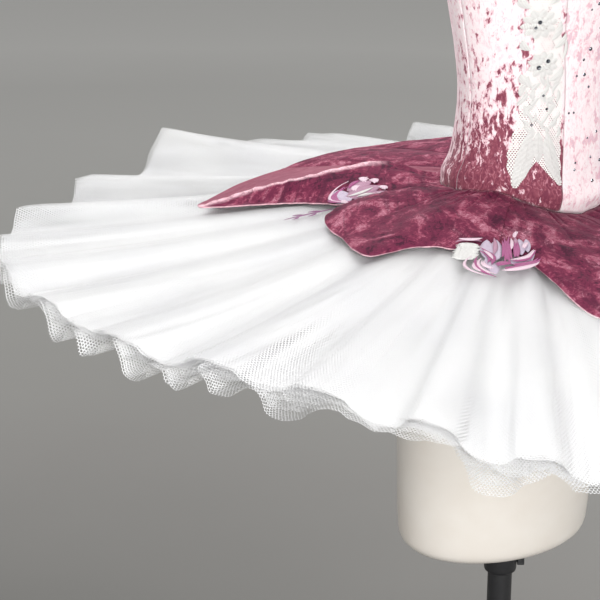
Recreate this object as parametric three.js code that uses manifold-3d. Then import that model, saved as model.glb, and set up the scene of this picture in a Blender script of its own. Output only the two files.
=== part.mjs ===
// A classical ballet tutu on a limbless dress form. Millimetres, +Z up, the wearer faces -Y.
// The origin is the centre of the stand's foot, on the floor.
// Angles are degrees round the body from the centre front (0) towards the wearer's right (+90).
import * as THREE from "three";
import { mergeVertices } from "three/addons/utils/BufferGeometryUtils.js";
import Module from "manifold-3d";

const wasm = await Module();
wasm.setup();

// Driving dimensions
const hipHeight = 975; // where the bodice ends and the skirt springs from
const formFoot = 510; // underside of the dress form
const neckTop = 1520;
const ease = 0.9; // free space between the form and the cloth on it
const bodiceThickness = 1.6;
const yokeThickness = 1.5;
const seamGap = 0.4; // between neighbouring pieces of cloth
const rootGap = 0.8; // between the yoke and the layers sewn to it
const skirtRadius = 600;
const rimDrop = 87; // how far the rim hangs below the hip line
const netThickness = 1.5;
const tierCount = 4;
const foldCount = 34; // flutes round each tier
const tierRootStep = 11;
const tierRimStep = 6.5;
const velvetThickness = 1.8;
const plateTuck = 3; // how far below the hem the velvet plate starts
const plateDrop = plateTuck + velvetThickness;
const appliqueThickness = 1.7;
const laceThickness = 1.2;
const poleRadius = 15;
const slidingGap = 0.5;
const fitGap = 0.3;

// The form's level sections: half its width, its depth before and behind its centre, and where that centre lies.
const bodySections = [
  { height: 510, half: 106, front: 76, back: 80, centre: 17 },
  { height: 516, half: 120, front: 89, back: 93, centre: 17 },
  { height: 532, half: 126, front: 95, back: 99, centre: 17 },
  { height: 620, half: 130, front: 98, back: 102, centre: 15 },
  { height: 720, half: 136, front: 101, back: 106, centre: 10 },
  { height: 820, half: 140, front: 102, back: 109, centre: 2 },
  { height: 885, half: 135, front: 96, back: 105, centre: -10 },
  { height: 935, half: 123, front: 87, back: 93, centre: -24 },
  { height: 975, half: 112, front: 81, back: 84, centre: -33 },
  { height: 1025, half: 102, front: 75, back: 77, centre: -37 },
  { height: 1080, half: 98, front: 72, back: 73, centre: -38 },
  { height: 1130, half: 103, front: 76, back: 76, centre: -37 },
  { height: 1187, half: 113, front: 83, back: 82, centre: -35 },
  { height: 1240, half: 122, front: 87, back: 87, centre: -32 },
  { height: 1290, half: 127, front: 85, back: 90, centre: -28 },
  { height: 1335, half: 134, front: 77, back: 87, centre: -24 },
  { height: 1375, half: 145, front: 68, back: 80, centre: -20 },
  { height: 1408, half: 148, front: 58, back: 70, centre: -17 },
  { height: 1430, half: 130, front: 50, back: 60, centre: -14 },
  { height: 1446, half: 96, front: 45, back: 54, centre: -12 },
  { height: 1460, half: 66, front: 43, back: 50, centre: -12 },
  { height: 1482, half: 53, front: 43, back: 47, centre: -14 },
  { height: 1512, half: 50, front: 42, back: 45, centre: -18 },
  { height: 1520, half: 44, front: 36, back: 39, centre: -18 },
];

const bust = { apart: 64, height: 1248, rise: 15, wide: 45, tall: 58, dip: 0.4, dipWide: 45 };

// The bodice's lower edge, above or below the hip line: pointed in front, arched over the hips.
const hemLine = [
  { angle: 0, lift: -20 },
  { angle: 19, lift: -12 },
  { angle: 53, lift: 9 },
  { angle: 90, lift: 6 },
  { angle: 130, lift: 1 },
  { angle: 180, lift: 3 },
];

const neckLine = [
  { angle: 0, height: 1252 },
  { angle: 26, height: 1284 },
  { angle: 60, height: 1262 },
  { angle: 90, height: 1238 },
  { angle: 130, height: 1222 },
  { angle: 180, height: 1216 },
];

// The seam between the centre front panel and the side front panel.
const princessSeam = [
  { height: 955, angle: 14.5 },
  { height: 1028, angle: 15.2 },
  { height: 1095, angle: 15.4 },
  { height: 1133, angle: 17.6 },
  { height: 1192, angle: 20.5 },
  { height: 1250, angle: 29 },
  { height: 1290, angle: 32 },
];

// How the rim of the top net tier rises and dips round the skirt, beside its even fall.
const rimWaves = [
  { angle: -180, lift: -10 },
  { angle: -155, lift: -12 },
  { angle: -125, lift: 4 },
  { angle: -90, lift: 20 },
  { angle: -55, lift: 26 },
  { angle: -30, lift: -8 },
  { angle: 0, lift: -4 },
  { angle: 36, lift: -20 },
  { angle: 54, lift: 28 },
  { angle: 80, lift: 34 },
  { angle: 108, lift: 28 },
  { angle: 139, lift: 3 },
  { angle: 166, lift: 12 },
  { angle: 180, lift: -10 },
];

// Where the deepest flutes hang on the wearer's right front; the others follow at even steps.
const measuredFlutes = { first: 34, angles: [34, 41.5, 50, 60, 67, 73, 81, 89] };

const tiers = Array.from({ length: tierCount }, (_, k) => ({
  name: `net_tier_${k + 1}`,
  root: -5.6 - tierRootStep * k,
  rim: -tierRimStep * k,
  radius: skirtRadius - 5 * k,
  amplitude: 6 + 4 * k,
}));

// The velvet plate's petals. Each row is a line from the hip outwards: its angle, how far from the centre
// it reaches, and how high it is puffed above the net.
const petals = [
  {
    name: "petal_front",
    rows: [
      { angle: -45, reach: 238, rise: 1 },
      { angle: -37, reach: 262, rise: 6 },
      { angle: -32, reach: 300, rise: 8 },
      { angle: -27, reach: 364, rise: 8 },
      { angle: -14, reach: 398, rise: 8 },
      { angle: 0, reach: 432, rise: 11 },
      { angle: 14, reach: 398, rise: 8 },
      { angle: 27, reach: 364, rise: 8 },
      { angle: 32, reach: 300, rise: 8 },
      { angle: 37, reach: 262, rise: 6 },
      { angle: 45, reach: 238, rise: 1 },
    ],
  },
  {
    name: "petal_side",
    paired: true,
    rows: [
      { angle: 45.4, reach: 238, rise: 1 },
      { angle: 54, reach: 262, rise: 4 },
      { angle: 60, reach: 264, rise: 7 },
      { angle: 65, reach: 276, rise: 11 },
      { angle: 70, reach: 304, rise: 11 },
      { angle: 76, reach: 296, rise: 6 },
      { angle: 83, reach: 280, rise: 5 },
      { angle: 90, reach: 272, rise: 10 },
      { angle: 95, reach: 266, rise: 14 },
      { angle: 100.5, reach: 252, rise: 8 },
      { angle: 104.2, reach: 218, rise: 1 },
    ],
  },
  {
    name: "petal_hip",
    paired: true,
    rows: [
      { angle: 104.6, reach: 214, rise: 1 },
      { angle: 109, reach: 229, rise: 5 },
      { angle: 113.5, reach: 242, rise: 11 },
      { angle: 117.5, reach: 264, rise: 17 },
      { angle: 120.5, reach: 304, rise: 21 },
      { angle: 124, reach: 368, rise: 22 },
      { angle: 129, reach: 358, rise: 18 },
      { angle: 134, reach: 346, rise: 13 },
      { angle: 140, reach: 334, rise: 9 },
      { angle: 146, reach: 318, rise: 5 },
      { angle: 151.6, reach: 302, rise: 1 },
    ],
  },
  {
    name: "petal_back",
    paired: true,
    rows: [
      { angle: 152, reach: 302, rise: 1 },
      { angle: 158, reach: 298, rise: 7 },
      { angle: 165, reach: 290, rise: 8 },
      { angle: 172, reach: 291, rise: 6 },
      { angle: 179.9, reach: 294, rise: 2 },
    ],
  },
];

// The flower appliques in the valleys between petals: place, half sizes across and outwards, and how far
// off the plate they lie.
const appliques = [
  { name: "flower_front", angle: 45, reach: 258, across: 52, outwards: 27, lobes: 7, off: 0.9 },
  { name: "flower_hip", angle: 108.5, reach: 196, across: 28, outwards: 22, lobes: 5, off: 0.9 },
];

const sprig = { angle: 105, from: 238, to: 292, half: 6, offRight: -1, offLeft: -2.6 };

// The lace trim on each princess seam: its inner and outer edges, from the centre line, at each height.
const laceEdges = [
  { height: 990, inner: 30, outer: 77 },
  { height: 1018, inner: 31, outer: 81 },
  { height: 1045, inner: 31, outer: 76 },
  { height: 1075, inner: 30, outer: 71 },
  { height: 1105, inner: 31, outer: 71 },
  { height: 1135, inner: 34, outer: 62 },
  { height: 1165, inner: 41, outer: 68 },
  { height: 1195, inner: 47, outer: 76 },
  { height: 1225, inner: 60, outer: 86 },
  { height: 1252, inner: 70, outer: 94 },
];
const lacePoints = { tip: 990, notch: 1018 };

const degrees = Math.PI / 180;
const lerp = THREE.MathUtils.lerp;
const clamp = THREE.MathUtils.clamp;

// A smooth function through a table's rows, from one of its columns to another.
function smooth(rows, from, to) {
  const slope = rows.map((row, i) => {
    const before = rows[Math.max(i - 1, 0)];
    const after = rows[Math.min(i + 1, rows.length - 1)];
    return (after[to] - before[to]) / (after[from] - before[from]);
  });
  return (x) => {
    const at = clamp(x, rows[0][from], rows[rows.length - 1][from]);
    const i = Math.min(rows.filter((row) => row[from] <= at).length - 1, rows.length - 2);
    const width = rows[i + 1][from] - rows[i][from];
    const u = (at - rows[i][from]) / width;
    const rise = u * u * (3 - 2 * u);
    return (
      lerp(rows[i][to], rows[i + 1][to], rise) +
      width * u * (1 - u) * (slope[i] * (1 - u) - slope[i + 1] * u)
    );
  };
}

// A straight-sided function through a table's rows, which keeps its corners.
function straight(rows, from, to) {
  return (x) => {
    const at = clamp(x, rows[0][from], rows[rows.length - 1][from]);
    const i = Math.min(rows.filter((row) => row[from] <= at).length - 1, rows.length - 2);
    const u = (at - rows[i][from]) / (rows[i + 1][from] - rows[i][from]);
    return lerp(rows[i][to], rows[i + 1][to], u);
  };
}

const bodyHalf = smooth(bodySections, "height", "half");
const bodyFront = smooth(bodySections, "height", "front");
const bodyBack = smooth(bodySections, "height", "back");
const bodyCentre = smooth(bodySections, "height", "centre");
const hemLift = smooth(hemLine, "angle", "lift");
const neckHeight = smooth(neckLine, "angle", "height");
const princessAngle = smooth(princessSeam, "height", "angle");
const rimLift = smooth(rimWaves, "angle", "lift");
const laceInner = smooth(laceEdges, "height", "inner");
const laceOuter = smooth(laceEdges, "height", "outer");

const wrap = (angle) => ((((angle + 180) % 360) + 360) % 360) - 180;
const hemHeight = (angle) => hipHeight + hemLift(Math.abs(wrap(angle)));

// A point on the form, or out from it by the given amount. What lies over the form spans the dip of the bust.
function bodyPoint(angle, height, out = 0) {
  const across = -Math.sin(angle * degrees);
  const along = -Math.cos(angle * degrees);
  const depth = along < 0 ? bodyFront(height) : bodyBack(height);
  const x = across * (bodyHalf(height) + out);
  const sideways = Math.max(Math.abs(x) - bust.apart, 0) / bust.wide;
  const upwards = (height - bust.height) / bust.tall;
  const between = out > 0 ? 1 : 1 - bust.dip * Math.exp(-((x / bust.dipWide) ** 2));
  const cup = along < 0 ? bust.rise * between * Math.exp(-(sideways ** 2) - upwards ** 2) * -along : 0;
  return new THREE.Vector3(x, bodyCentre(height) + along * (depth + out + cup), height);
}

// The angle at which the form, with cloth on it, is this far from the centre line.
function angleAcross(x, height) {
  return Math.asin(clamp(x / bodyHalf(height), -1, 1)) / degrees;
}

// Where a layer of the skirt meets the yoke, this far below the bodice's hem.
function rootPoint(angle, drop) {
  return bodyPoint(angle, hemHeight(angle) - drop, ease + yokeThickness + rootGap);
}

function rootReach(angle, drop) {
  const root = rootPoint(angle, drop);
  return Math.hypot(root.x, root.y);
}

// A point over the skirt's cone: reach is its distance from the centre, and lift its height above the cone.
function skirtPoint(angle, reach, lift, drop = plateDrop) {
  const root = rootPoint(angle, drop);
  const rim = new THREE.Vector3(-Math.sin(angle * degrees), -Math.cos(angle * degrees), 0);
  rim.multiplyScalar(skirtRadius);
  const inner = rootReach(angle, drop);
  const share = (reach - inner) / (skirtRadius - inner);
  const height = lerp(hemHeight(angle), hipHeight - rimDrop, share) + rimLift(wrap(angle)) * share ** 2.4;
  return new THREE.Vector3(lerp(root.x, rim.x, share), lerp(root.y, rim.y, share), height + lift);
}

// Turns a geometry inside out if its faces point inwards.
function facingOut(geometry) {
  const p = geometry.getAttribute("position");
  const index = geometry.index;
  const corner = [new THREE.Vector3(), new THREE.Vector3(), new THREE.Vector3()];
  let volume = 0;
  for (let i = 0; i < index.count; i += 3) {
    corner.forEach((v, k) => v.fromBufferAttribute(p, index.getX(i + k)));
    volume += corner[0].dot(corner[1].cross(corner[2]));
  }
  if (volume < 0) {
    for (let i = 0; i < index.count; i += 3) {
      const kept = index.getX(i);
      index.setX(i, index.getX(i + 1));
      index.setX(i + 1, kept);
    }
  }
  return geometry;
}

// A wall of cloth: outer(i, j) and inner(i, j) give its two faces over a grid. A ring closes on itself.
function wall(columns, rows, isRing, outer, inner) {
  const around = isRing ? columns : columns + 1;
  const positions = [];
  const faces = [];
  for (const face of [outer, inner]) {
    for (let i = 0; i < around; i++) {
      for (let j = 0; j <= rows; j++) positions.push(...face(i, j).toArray());
    }
  }
  const back = around * (rows + 1);
  const at = (i, j) => (i % around) * (rows + 1) + j;
  const quad = (a, b, c, d) => faces.push(a, b, c, a, c, d);
  for (let i = 0; i < columns; i++) {
    for (let j = 0; j < rows; j++) {
      quad(at(i, j), at(i + 1, j), at(i + 1, j + 1), at(i, j + 1));
      quad(back + at(i, j + 1), back + at(i + 1, j + 1), back + at(i + 1, j), back + at(i, j));
    }
    quad(at(i, 0), back + at(i, 0), back + at(i + 1, 0), at(i + 1, 0));
    quad(at(i + 1, rows), back + at(i + 1, rows), back + at(i, rows), at(i, rows));
  }
  for (let j = 0; j < rows && !isRing; j++) {
    quad(at(0, j + 1), back + at(0, j + 1), back + at(0, j), at(0, j));
    quad(at(columns, j), back + at(columns, j), back + at(columns, j + 1), at(columns, j + 1));
  }
  const geometry = new THREE.BufferGeometry();
  geometry.setAttribute("position", new THREE.Float32BufferAttribute(positions, 3));
  geometry.setIndex(faces);
  return facingOut(geometry);
}

// A solid through level rings, closed by a fan at each end.
function loft(heights, segments, pointAt) {
  const positions = [];
  const faces = [];
  heights.forEach((height) => {
    for (let i = 0; i < segments; i++) positions.push(...pointAt((360 * i) / segments, height).toArray());
  });
  const ends = [heights[0], heights[heights.length - 1]];
  ends.forEach((height) => positions.push(0, bodyCentre(height), height));
  const top = heights.length * segments + 1;
  const lastRing = (heights.length - 1) * segments;
  for (let i = 0; i < segments; i++) {
    const next = (i + 1) % segments;
    for (let j = 0; j < heights.length - 1; j++) {
      const low = j * segments;
      const high = low + segments;
      faces.push(low + i, high + i, low + next, low + next, high + i, high + next);
    }
    faces.push(top - 1, i, next, top, lastRing + next, lastRing + i);
  }
  const geometry = new THREE.BufferGeometry();
  geometry.setAttribute("position", new THREE.Float32BufferAttribute(positions, 3));
  geometry.setIndex(faces);
  return facingOut(geometry);
}

function solidOf(geometry) {
  const bare = geometry.clone();
  ["normal", "uv"].forEach((name) => bare.deleteAttribute(name));
  const merged = mergeVertices(bare, 1e-4);
  return new wasm.Manifold(
    new wasm.Mesh({
      numProp: 3,
      vertProperties: merged.getAttribute("position").array,
      triVerts: new Uint32Array(merged.index.array),
    }),
  );
}

function cutFrom(geometry, tool) {
  const mesh = solidOf(geometry).subtract(solidOf(tool)).getMesh();
  const cut = new THREE.BufferGeometry();
  cut.setAttribute("position", new THREE.BufferAttribute(mesh.vertProperties, 3));
  cut.setIndex(new THREE.BufferAttribute(mesh.triVerts, 1));
  return cut;
}

// An upright cylinder between two heights.
function upright(radius, low, high, segments) {
  const geometry = new THREE.CylinderGeometry(radius, radius, high - low, segments);
  geometry.rotateX(Math.PI / 2);
  geometry.translate(0, 0, (low + high) / 2);
  return geometry;
}

function turned(profile, segments) {
  const points = profile.map(([radius, height]) => new THREE.Vector2(radius, height));
  const geometry = new THREE.LatheGeometry(points, segments);
  geometry.rotateX(Math.PI / 2);
  return facingOut(mergeVertices(plain(geometry), 1e-3));
}

function plain(geometry) {
  geometry.deleteAttribute("normal");
  geometry.deleteAttribute("uv");
  return geometry;
}

const finishes = {
  velvet: { color: 0x7c3049, roughness: 0.75 },
  paleVelvet: { color: 0xe9bcc6, roughness: 0.7 },
  panel: { color: 0xf4dce2, roughness: 0.7 },
  net: { color: 0xf6f6f6, roughness: 0.8 },
  yoke: { color: 0xf3ece8, roughness: 0.8 },
  lace: { color: 0xe6e8e2, roughness: 0.55 },
  applique: { color: 0xcf9ec4, roughness: 0.6 },
  form: { color: 0xece4d6, roughness: 0.45 },
  steel: { color: 0x26272a, roughness: 0.4, metalness: 0.3 },
};
const materials = Object.fromEntries(
  Object.entries(finishes).map(([name, finish]) => [name, new THREE.MeshStandardMaterial(finish)]),
);

const tutu = new THREE.Group();

function add(name, geometry, finish) {
  const mesh = new THREE.Mesh(geometry, materials[finish]);
  mesh.name = name;
  tutu.add(mesh);
}

function dressForm() {
  const segments = 26;
  const boreTop = 815;
  const levels = bodySections.flatMap(({ height }, i) => {
    const above = bodySections[Math.min(i + 1, bodySections.length - 1)].height;
    return height > 850 && above < 1300 ? [height, (height + above) / 2] : [height];
  });
  const torso = loft(levels, segments, (angle, height) => bodyPoint(angle, height));
  return cutFrom(torso, upright(poleRadius + slidingGap, formFoot - 10, boreTop, 24));
}

// The stand: a round foot with a socket, the pole in it, and the clamp collar that the form sits on.
const foot = { radius: 195, plate: 6, boss: 28, bossTop: 50, socketFloor: 8 };
const collar = { radius: 20, low: 465, taper: 5 };
const screw = { height: 478, heading: -33.3, shank: 3, reach: 30, knob: 7, knobLength: 8 };

function standFoot() {
  const socket = poleRadius + fitGap;
  return turned(
    [
      [0, 0],
      [foot.radius, 0],
      [foot.radius, foot.plate - 2],
      [foot.radius - 3, foot.plate],
      [foot.boss + 20, foot.plate + 3],
      [foot.boss, foot.plate + 12],
      [foot.boss, foot.bossTop - 2],
      [foot.boss - 2, foot.bossTop],
      [socket, foot.bossTop],
      [socket, foot.socketFloor],
      [0, foot.socketFloor],
    ],
    24,
  );
}

function screwPlace(geometry, from) {
  geometry.rotateZ(-Math.PI / 2);
  geometry.translate(from, 0, 0);
  geometry.rotateZ(screw.heading * degrees);
  geometry.translate(0, 0, screw.height);
  return geometry;
}

function clampCollar() {
  const bore = poleRadius + slidingGap;
  const top = formFoot - fitGap;
  const ring = turned(
    [
      [bore, collar.low],
      [collar.radius - 2, collar.low],
      [collar.radius, collar.low + collar.taper],
      [collar.radius, top],
      [bore, top],
      [bore, collar.low],
    ],
    20,
  );
  const holeRadius = screw.shank + fitGap;
  const hole = new THREE.CylinderGeometry(holeRadius, holeRadius, collar.radius, 12);
  return cutFrom(ring, screwPlace(hole, collar.radius));
}

function clampScrew() {
  const start = poleRadius + slidingGap + fitGap;
  const length = screw.reach - start;
  const geometry = turned(
    [
      [0, 0],
      [screw.shank, 0],
      [screw.shank, length - screw.knobLength],
      [screw.knob, length - screw.knobLength],
      [screw.knob, length],
      [0, length],
    ],
    12,
  );
  geometry.rotateY(Math.PI / 2);
  geometry.translate(start, 0, 0);
  geometry.rotateZ(screw.heading * degrees);
  geometry.translate(0, 0, screw.height);
  return geometry;
}

// The hip yoke that carries the net tiers, a band round the hips under the skirt.
function hipYoke() {
  const rows = 3;
  const columns = 36;
  const depth = 84;
  const at = (out) => (i, j) => {
    const angle = (360 * i) / columns;
    const top = hemHeight(angle) - 1;
    return bodyPoint(angle, lerp(top, hipHeight - depth, j / rows), out);
  };
  return wall(columns, rows, true, at(ease + yokeThickness), at(ease));
}

// Where the flutes hang lowest, in order round the skirt.
function fluteAngles() {
  const measured = measuredFlutes.angles;
  const step = (360 - (measured[measured.length - 1] - measured[0])) / (foldCount - measured.length + 1);
  const others = Array.from({ length: foldCount - measured.length }, (_, i) => {
    const uneven = 1.9 * Math.sin(2.4 * i + 0.6) + 1.1 * Math.sin(5.3 * i);
    return measured[measured.length - 1] + step * (i + 1) + uneven;
  });
  return [...measured, ...others];
}
const flutes = fluteAngles();

// A net tier's fall at a flute's quarter: -1 where it hangs, +1 at the crest between two flutes.
function netTier(tier) {
  const quarters = 4;
  const columns = foldCount * quarters;
  const shares = [0, 0.4, 0.73, 1];
  const drop = netThickness - tier.root;
  const column = (i) => {
    const fold = Math.floor(i / quarters);
    const quarter = (i % quarters) / quarters;
    const next = fold + 1 < foldCount ? flutes[fold + 1] : flutes[0] + 360;
    const depth = 0.78 + 0.22 * Math.sin(fold * 1.7 + 0.8);
    return {
      angle: lerp(flutes[fold], next, quarter),
      wave: -Math.cos(quarter * 2 * Math.PI) * depth,
    };
  };
  const face = (below) => (i, j) => {
    const { angle, wave } = column(i % columns);
    const share = shares[j];
    const reach = lerp(rootReach(angle, drop), tier.radius, share);
    const swell = tier.amplitude * share ** 1.3 * wave;
    return skirtPoint(angle, reach, lerp(tier.root, tier.rim, share) + swell - below, drop);
  };
  return wall(columns, shares.length - 1, true, face(0), face(netThickness));
}

// The puffed surface that the plate's petals are cut from, as a height above the skirt's cone.
const plateRows = petals.flatMap((one) => one.rows).filter((row) => row.angle >= 0);
const plateReach = straight(plateRows, "angle", "reach");
const plateRise = smooth(plateRows, "angle", "rise");

function plateLift(angle, reach) {
  const fromRoot = reach - rootReach(angle, plateDrop);
  const outwards = clamp(fromRoot / (plateReach(angle) - reach + fromRoot), 0, 1);
  const curl = 1 - 0.72 * outwards ** 7;
  const puff = Math.sin(clamp(fromRoot / 130, 0, 1) * Math.PI * 0.5) ** 1.2;
  const tuck = plateTuck * clamp(1 - fromRoot / 32, 0, 1);
  const overFlutes = 12 * (fromRoot / skirtRadius) ** 2;
  return plateRise(angle) * curl * puff - tuck + overFlutes;
}

function petal(rows, side) {
  const bands = 4;
  const angles = rows.flatMap((row, i) => (i ? [(rows[i - 1].angle + row.angle) / 2, row.angle] : [row.angle]));
  const face = (below) => (i, j) => {
    const angle = angles[i];
    const share = (j / bands) ** 0.85;
    const reach = lerp(rootReach(angle, plateDrop), plateReach(Math.abs(angle)), share);
    return skirtPoint(side * angle, reach, plateLift(Math.abs(angle), reach) - below);
  };
  return wall(angles.length - 1, bands, false, face(0), face(velvetThickness));
}

// A lobed applique laid over the plate: a cupped shape with a wavy edge, in rows from side to side.
function flowerApplique(flower, side) {
  const columns = 10;
  const rows = 3;
  const face = (below) => (i, j) => {
    const turn = Math.PI * (i / columns);
    const v = (j / rows) * 2 - 1;
    const lobe = 1 + 0.16 * Math.cos(turn * flower.lobes + v);
    const reach = flower.reach + flower.outwards * (0.25 + 0.75 * Math.sin(turn)) * v * lobe;
    const angle = flower.angle + (flower.across * Math.cos(turn)) / flower.reach / degrees;
    const lift = plateLift(angle, reach) + flower.off + appliqueThickness;
    return skirtPoint(side * angle, reach, lift - below);
  };
  return wall(columns, rows, false, face(0), face(appliqueThickness));
}

// A slim leaf sprig on the net, running outwards from the valley between the side and hip petals.
function leafSprig(side) {
  const columns = 6;
  const face = (below) => (i, j) => {
    const u = i / columns;
    const reach = lerp(sprig.from, sprig.to, u);
    const half = sprig.half * (0.4 + 0.6 * Math.sin(Math.PI * u));
    const angle = sprig.angle + ((2 * j - 1) * half) / reach / degrees;
    const off = side > 0 ? sprig.offRight : sprig.offLeft;
    return skirtPoint(side * angle, reach, off + appliqueThickness - below);
  };
  return wall(columns, 1, false, face(0), face(appliqueThickness));
}

const bodiceOut = ease + bodiceThickness;

// The bodice stands off the body a little, just above its hem.
function hemFlare(angle, height) {
  return 3 * Math.exp(-(((height - hemHeight(angle) - 14) / 12) ** 2));
}

// A bodice panel between two seams, each an angle that may change with height.
function bodicePanel(fromSeam, toSeam, columns) {
  const levels = [0, 0.045, 0.1, 0.22, 0.36, 0.5, 0.63, 0.75, 0.84, 0.92, 1];
  const low = 968;
  const high = 1262;
  const half = seamGap / 2 / 110 / degrees;
  const face = (outer) => (i, j) => {
    const v = levels[j];
    const seamHeight = lerp(low, high, v);
    const angle = lerp(fromSeam(seamHeight) + half, toSeam(seamHeight) - half, i / columns);
    const height = lerp(hemHeight(angle), neckHeight(Math.abs(angle)), v);
    return bodyPoint(angle, height, outer + hemFlare(angle, height));
  };
  return wall(columns, levels.length - 1, false, face(bodiceOut), face(ease));
}

const bodiceSeams = {
  princess: (height) => princessAngle(height),
  side: () => 88,
  back: (height) => 147 + (height - hipHeight) * 0.012,
  closing: () => 180,
};

// The lace trim over the side front panel, its lower end cut into two points.
function laceTrim(side) {
  const columns = 6;
  const rows = 9;
  const face = (out) => (i, j) => {
    const u = i / columns;
    const start = lerp(lacePoints.notch, lacePoints.tip, Math.min(Math.abs(u - 0.5) * 2.4, 1));
    const end = laceEdges[laceEdges.length - 1].height;
    const height = lerp(start, end, j / rows);
    const x = lerp(laceInner(height), laceOuter(height), u);
    const angle = angleAcross(x, height);
    return bodyPoint(side * angle, height, bodiceOut + hemFlare(angle, height) + out);
  };
  return wall(columns, rows, false, face(1 + laceThickness), face(1));
}

add("form_torso", dressForm(), "form");
add("stand_foot", standFoot(), "steel");
add("stand_pole", upright(poleRadius, foot.socketFloor + fitGap, 705, 24), "steel");
add("clamp_collar", clampCollar(), "steel");
add("clamp_screw", clampScrew(), "steel");
add("hip_yoke", hipYoke(), "yoke");
tiers.forEach((tier) => add(tier.name, netTier(tier), "net"));

petals.forEach(({ name, paired, rows }) => {
  if (!paired) {
    add(name, petal(rows, 1), "velvet");
    return;
  }
  add(`${name}_right`, petal(rows, 1), "velvet");
  add(`${name}_left`, petal(rows, -1), "velvet");
});

const centrePanel = bodicePanel((h) => -princessAngle(h), bodiceSeams.princess, 6);
add("bodice_centre_front", centrePanel, "panel");
[
  ["right", 1],
  ["left", -1],
].forEach(([hand, side]) => {
  const pieces = [
    ["side_front", bodiceSeams.princess, bodiceSeams.side, 8],
    ["side_back", bodiceSeams.side, bodiceSeams.back, 6],
    ["back", bodiceSeams.back, bodiceSeams.closing, 4],
  ];
  pieces.forEach(([name, from, to, columns]) => {
    const geometry = bodicePanel(from, to, columns);
    if (side < 0) geometry.scale(-1, 1, 1);
    add(`bodice_${name}_${hand}`, facingOut(geometry), "paleVelvet");
  });
  add(`lace_trim_${hand}`, laceTrim(side), "lace");
  appliques.forEach((flower) => add(`${flower.name}_${hand}`, flowerApplique(flower, side), "applique"));
  add(`leaf_sprig_${hand}`, leafSprig(side), "applique");
});

export default tutu;
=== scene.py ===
import math

import bpy
import numpy as np
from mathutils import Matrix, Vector


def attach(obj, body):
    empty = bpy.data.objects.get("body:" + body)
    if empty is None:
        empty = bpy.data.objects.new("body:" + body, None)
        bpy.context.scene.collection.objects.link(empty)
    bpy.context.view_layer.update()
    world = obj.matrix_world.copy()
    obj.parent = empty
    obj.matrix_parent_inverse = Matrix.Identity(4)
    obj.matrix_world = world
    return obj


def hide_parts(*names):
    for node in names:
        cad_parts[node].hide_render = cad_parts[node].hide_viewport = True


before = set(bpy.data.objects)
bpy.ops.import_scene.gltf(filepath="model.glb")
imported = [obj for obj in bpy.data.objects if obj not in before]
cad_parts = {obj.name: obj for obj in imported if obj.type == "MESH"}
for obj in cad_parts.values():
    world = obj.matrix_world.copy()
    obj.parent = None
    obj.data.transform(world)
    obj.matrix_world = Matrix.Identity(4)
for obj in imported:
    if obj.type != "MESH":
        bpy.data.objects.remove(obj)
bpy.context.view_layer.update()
scene = bpy.context.scene
scene.cycles.transparent_max_bounces = 40  # light passes through many layers of net
scene.view_settings.view_transform = "Standard"

# All sizes below are in millimetres, and angles run in degrees from the centre front to the wearer's right.
metre = 0.001


# Small helpers

def deselectAll():
    if bpy.context.object and bpy.context.object.mode != "OBJECT":
        bpy.ops.object.mode_set(mode="OBJECT")
    bpy.ops.object.select_all(action="DESELECT")


def hexColour(code):
    def linear(value):
        return value / 12.92 if value <= 0.04045 else ((value + 0.055) / 1.055) ** 2.4
    return tuple(linear(int(code[i:i + 2], 16) / 255) for i in (1, 3, 5)) + (1.0,)


def addNode(tree, kind, inputs=None, **settings):
    node = tree.nodes.new(kind)
    for name, value in settings.items():
        setattr(node, name, value)
    for key, value in (inputs or {}).items():
        if isinstance(value, bpy.types.NodeSocket):
            tree.links.new(value, node.inputs[key])
        else:
            node.inputs[key].default_value = value
    return node


def newMaterial(name, **surface):
    material = bpy.data.materials.new(name)
    material.use_nodes = True
    shader = material.node_tree.nodes["Principled BSDF"]
    for key, value in surface.items():
        shader.inputs[key.replace("_", " ")].default_value = value
    return material, material.node_tree, shader


def rampOf(tree, factor, stops):
    ramp = addNode(tree, "ShaderNodeValToRGB", {"Fac": factor})
    points = ramp.color_ramp.elements
    while len(points) < len(stops):
        points.new(0.5)
    for point, (place, code) in zip(points, stops):
        point.position = place
        point.color = hexColour(code) if isinstance(code, str) else (code, code, code, 1)
    return ramp.outputs["Color"]


def smoothLine(places, values):
    x, y = np.array(places, float), np.array(values, float)
    before, after = np.maximum(np.arange(len(x)) - 1, 0), np.minimum(np.arange(len(x)) + 1, len(x) - 1)
    slope = (y[after] - y[before]) / (x[after] - x[before])

    def at(where):
        where = np.clip(where, x[0], x[-1])
        i = np.clip(np.searchsorted(x, where, side="right") - 1, 0, len(x) - 2)
        width = x[i + 1] - x[i]
        u = (where - x[i]) / width
        rise = u * u * (3 - 2 * u)
        bow = width * u * (1 - u) * (slope[i] * (1 - u) - slope[i + 1] * u)
        return y[i] * (1 - rise) + y[i + 1] * rise + bow
    return at


def mix(a, b, share):
    return a + (b - a) * share


def ripples(x, y, size, seed, count=7):
    # uneven waves of about the given length, between -1 and 1
    draw = np.random.default_rng(seed)
    total = np.zeros(np.shape(x))
    for _ in range(count):
        turn = draw.uniform(0, math.pi)
        length = size * draw.uniform(0.6, 1.7)
        phase = draw.uniform(0, 2 * math.pi)
        total = total + np.sin((x * math.cos(turn) + y * math.sin(turn)) * 2 * math.pi / length + phase)
    return total / count * 1.6


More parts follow.
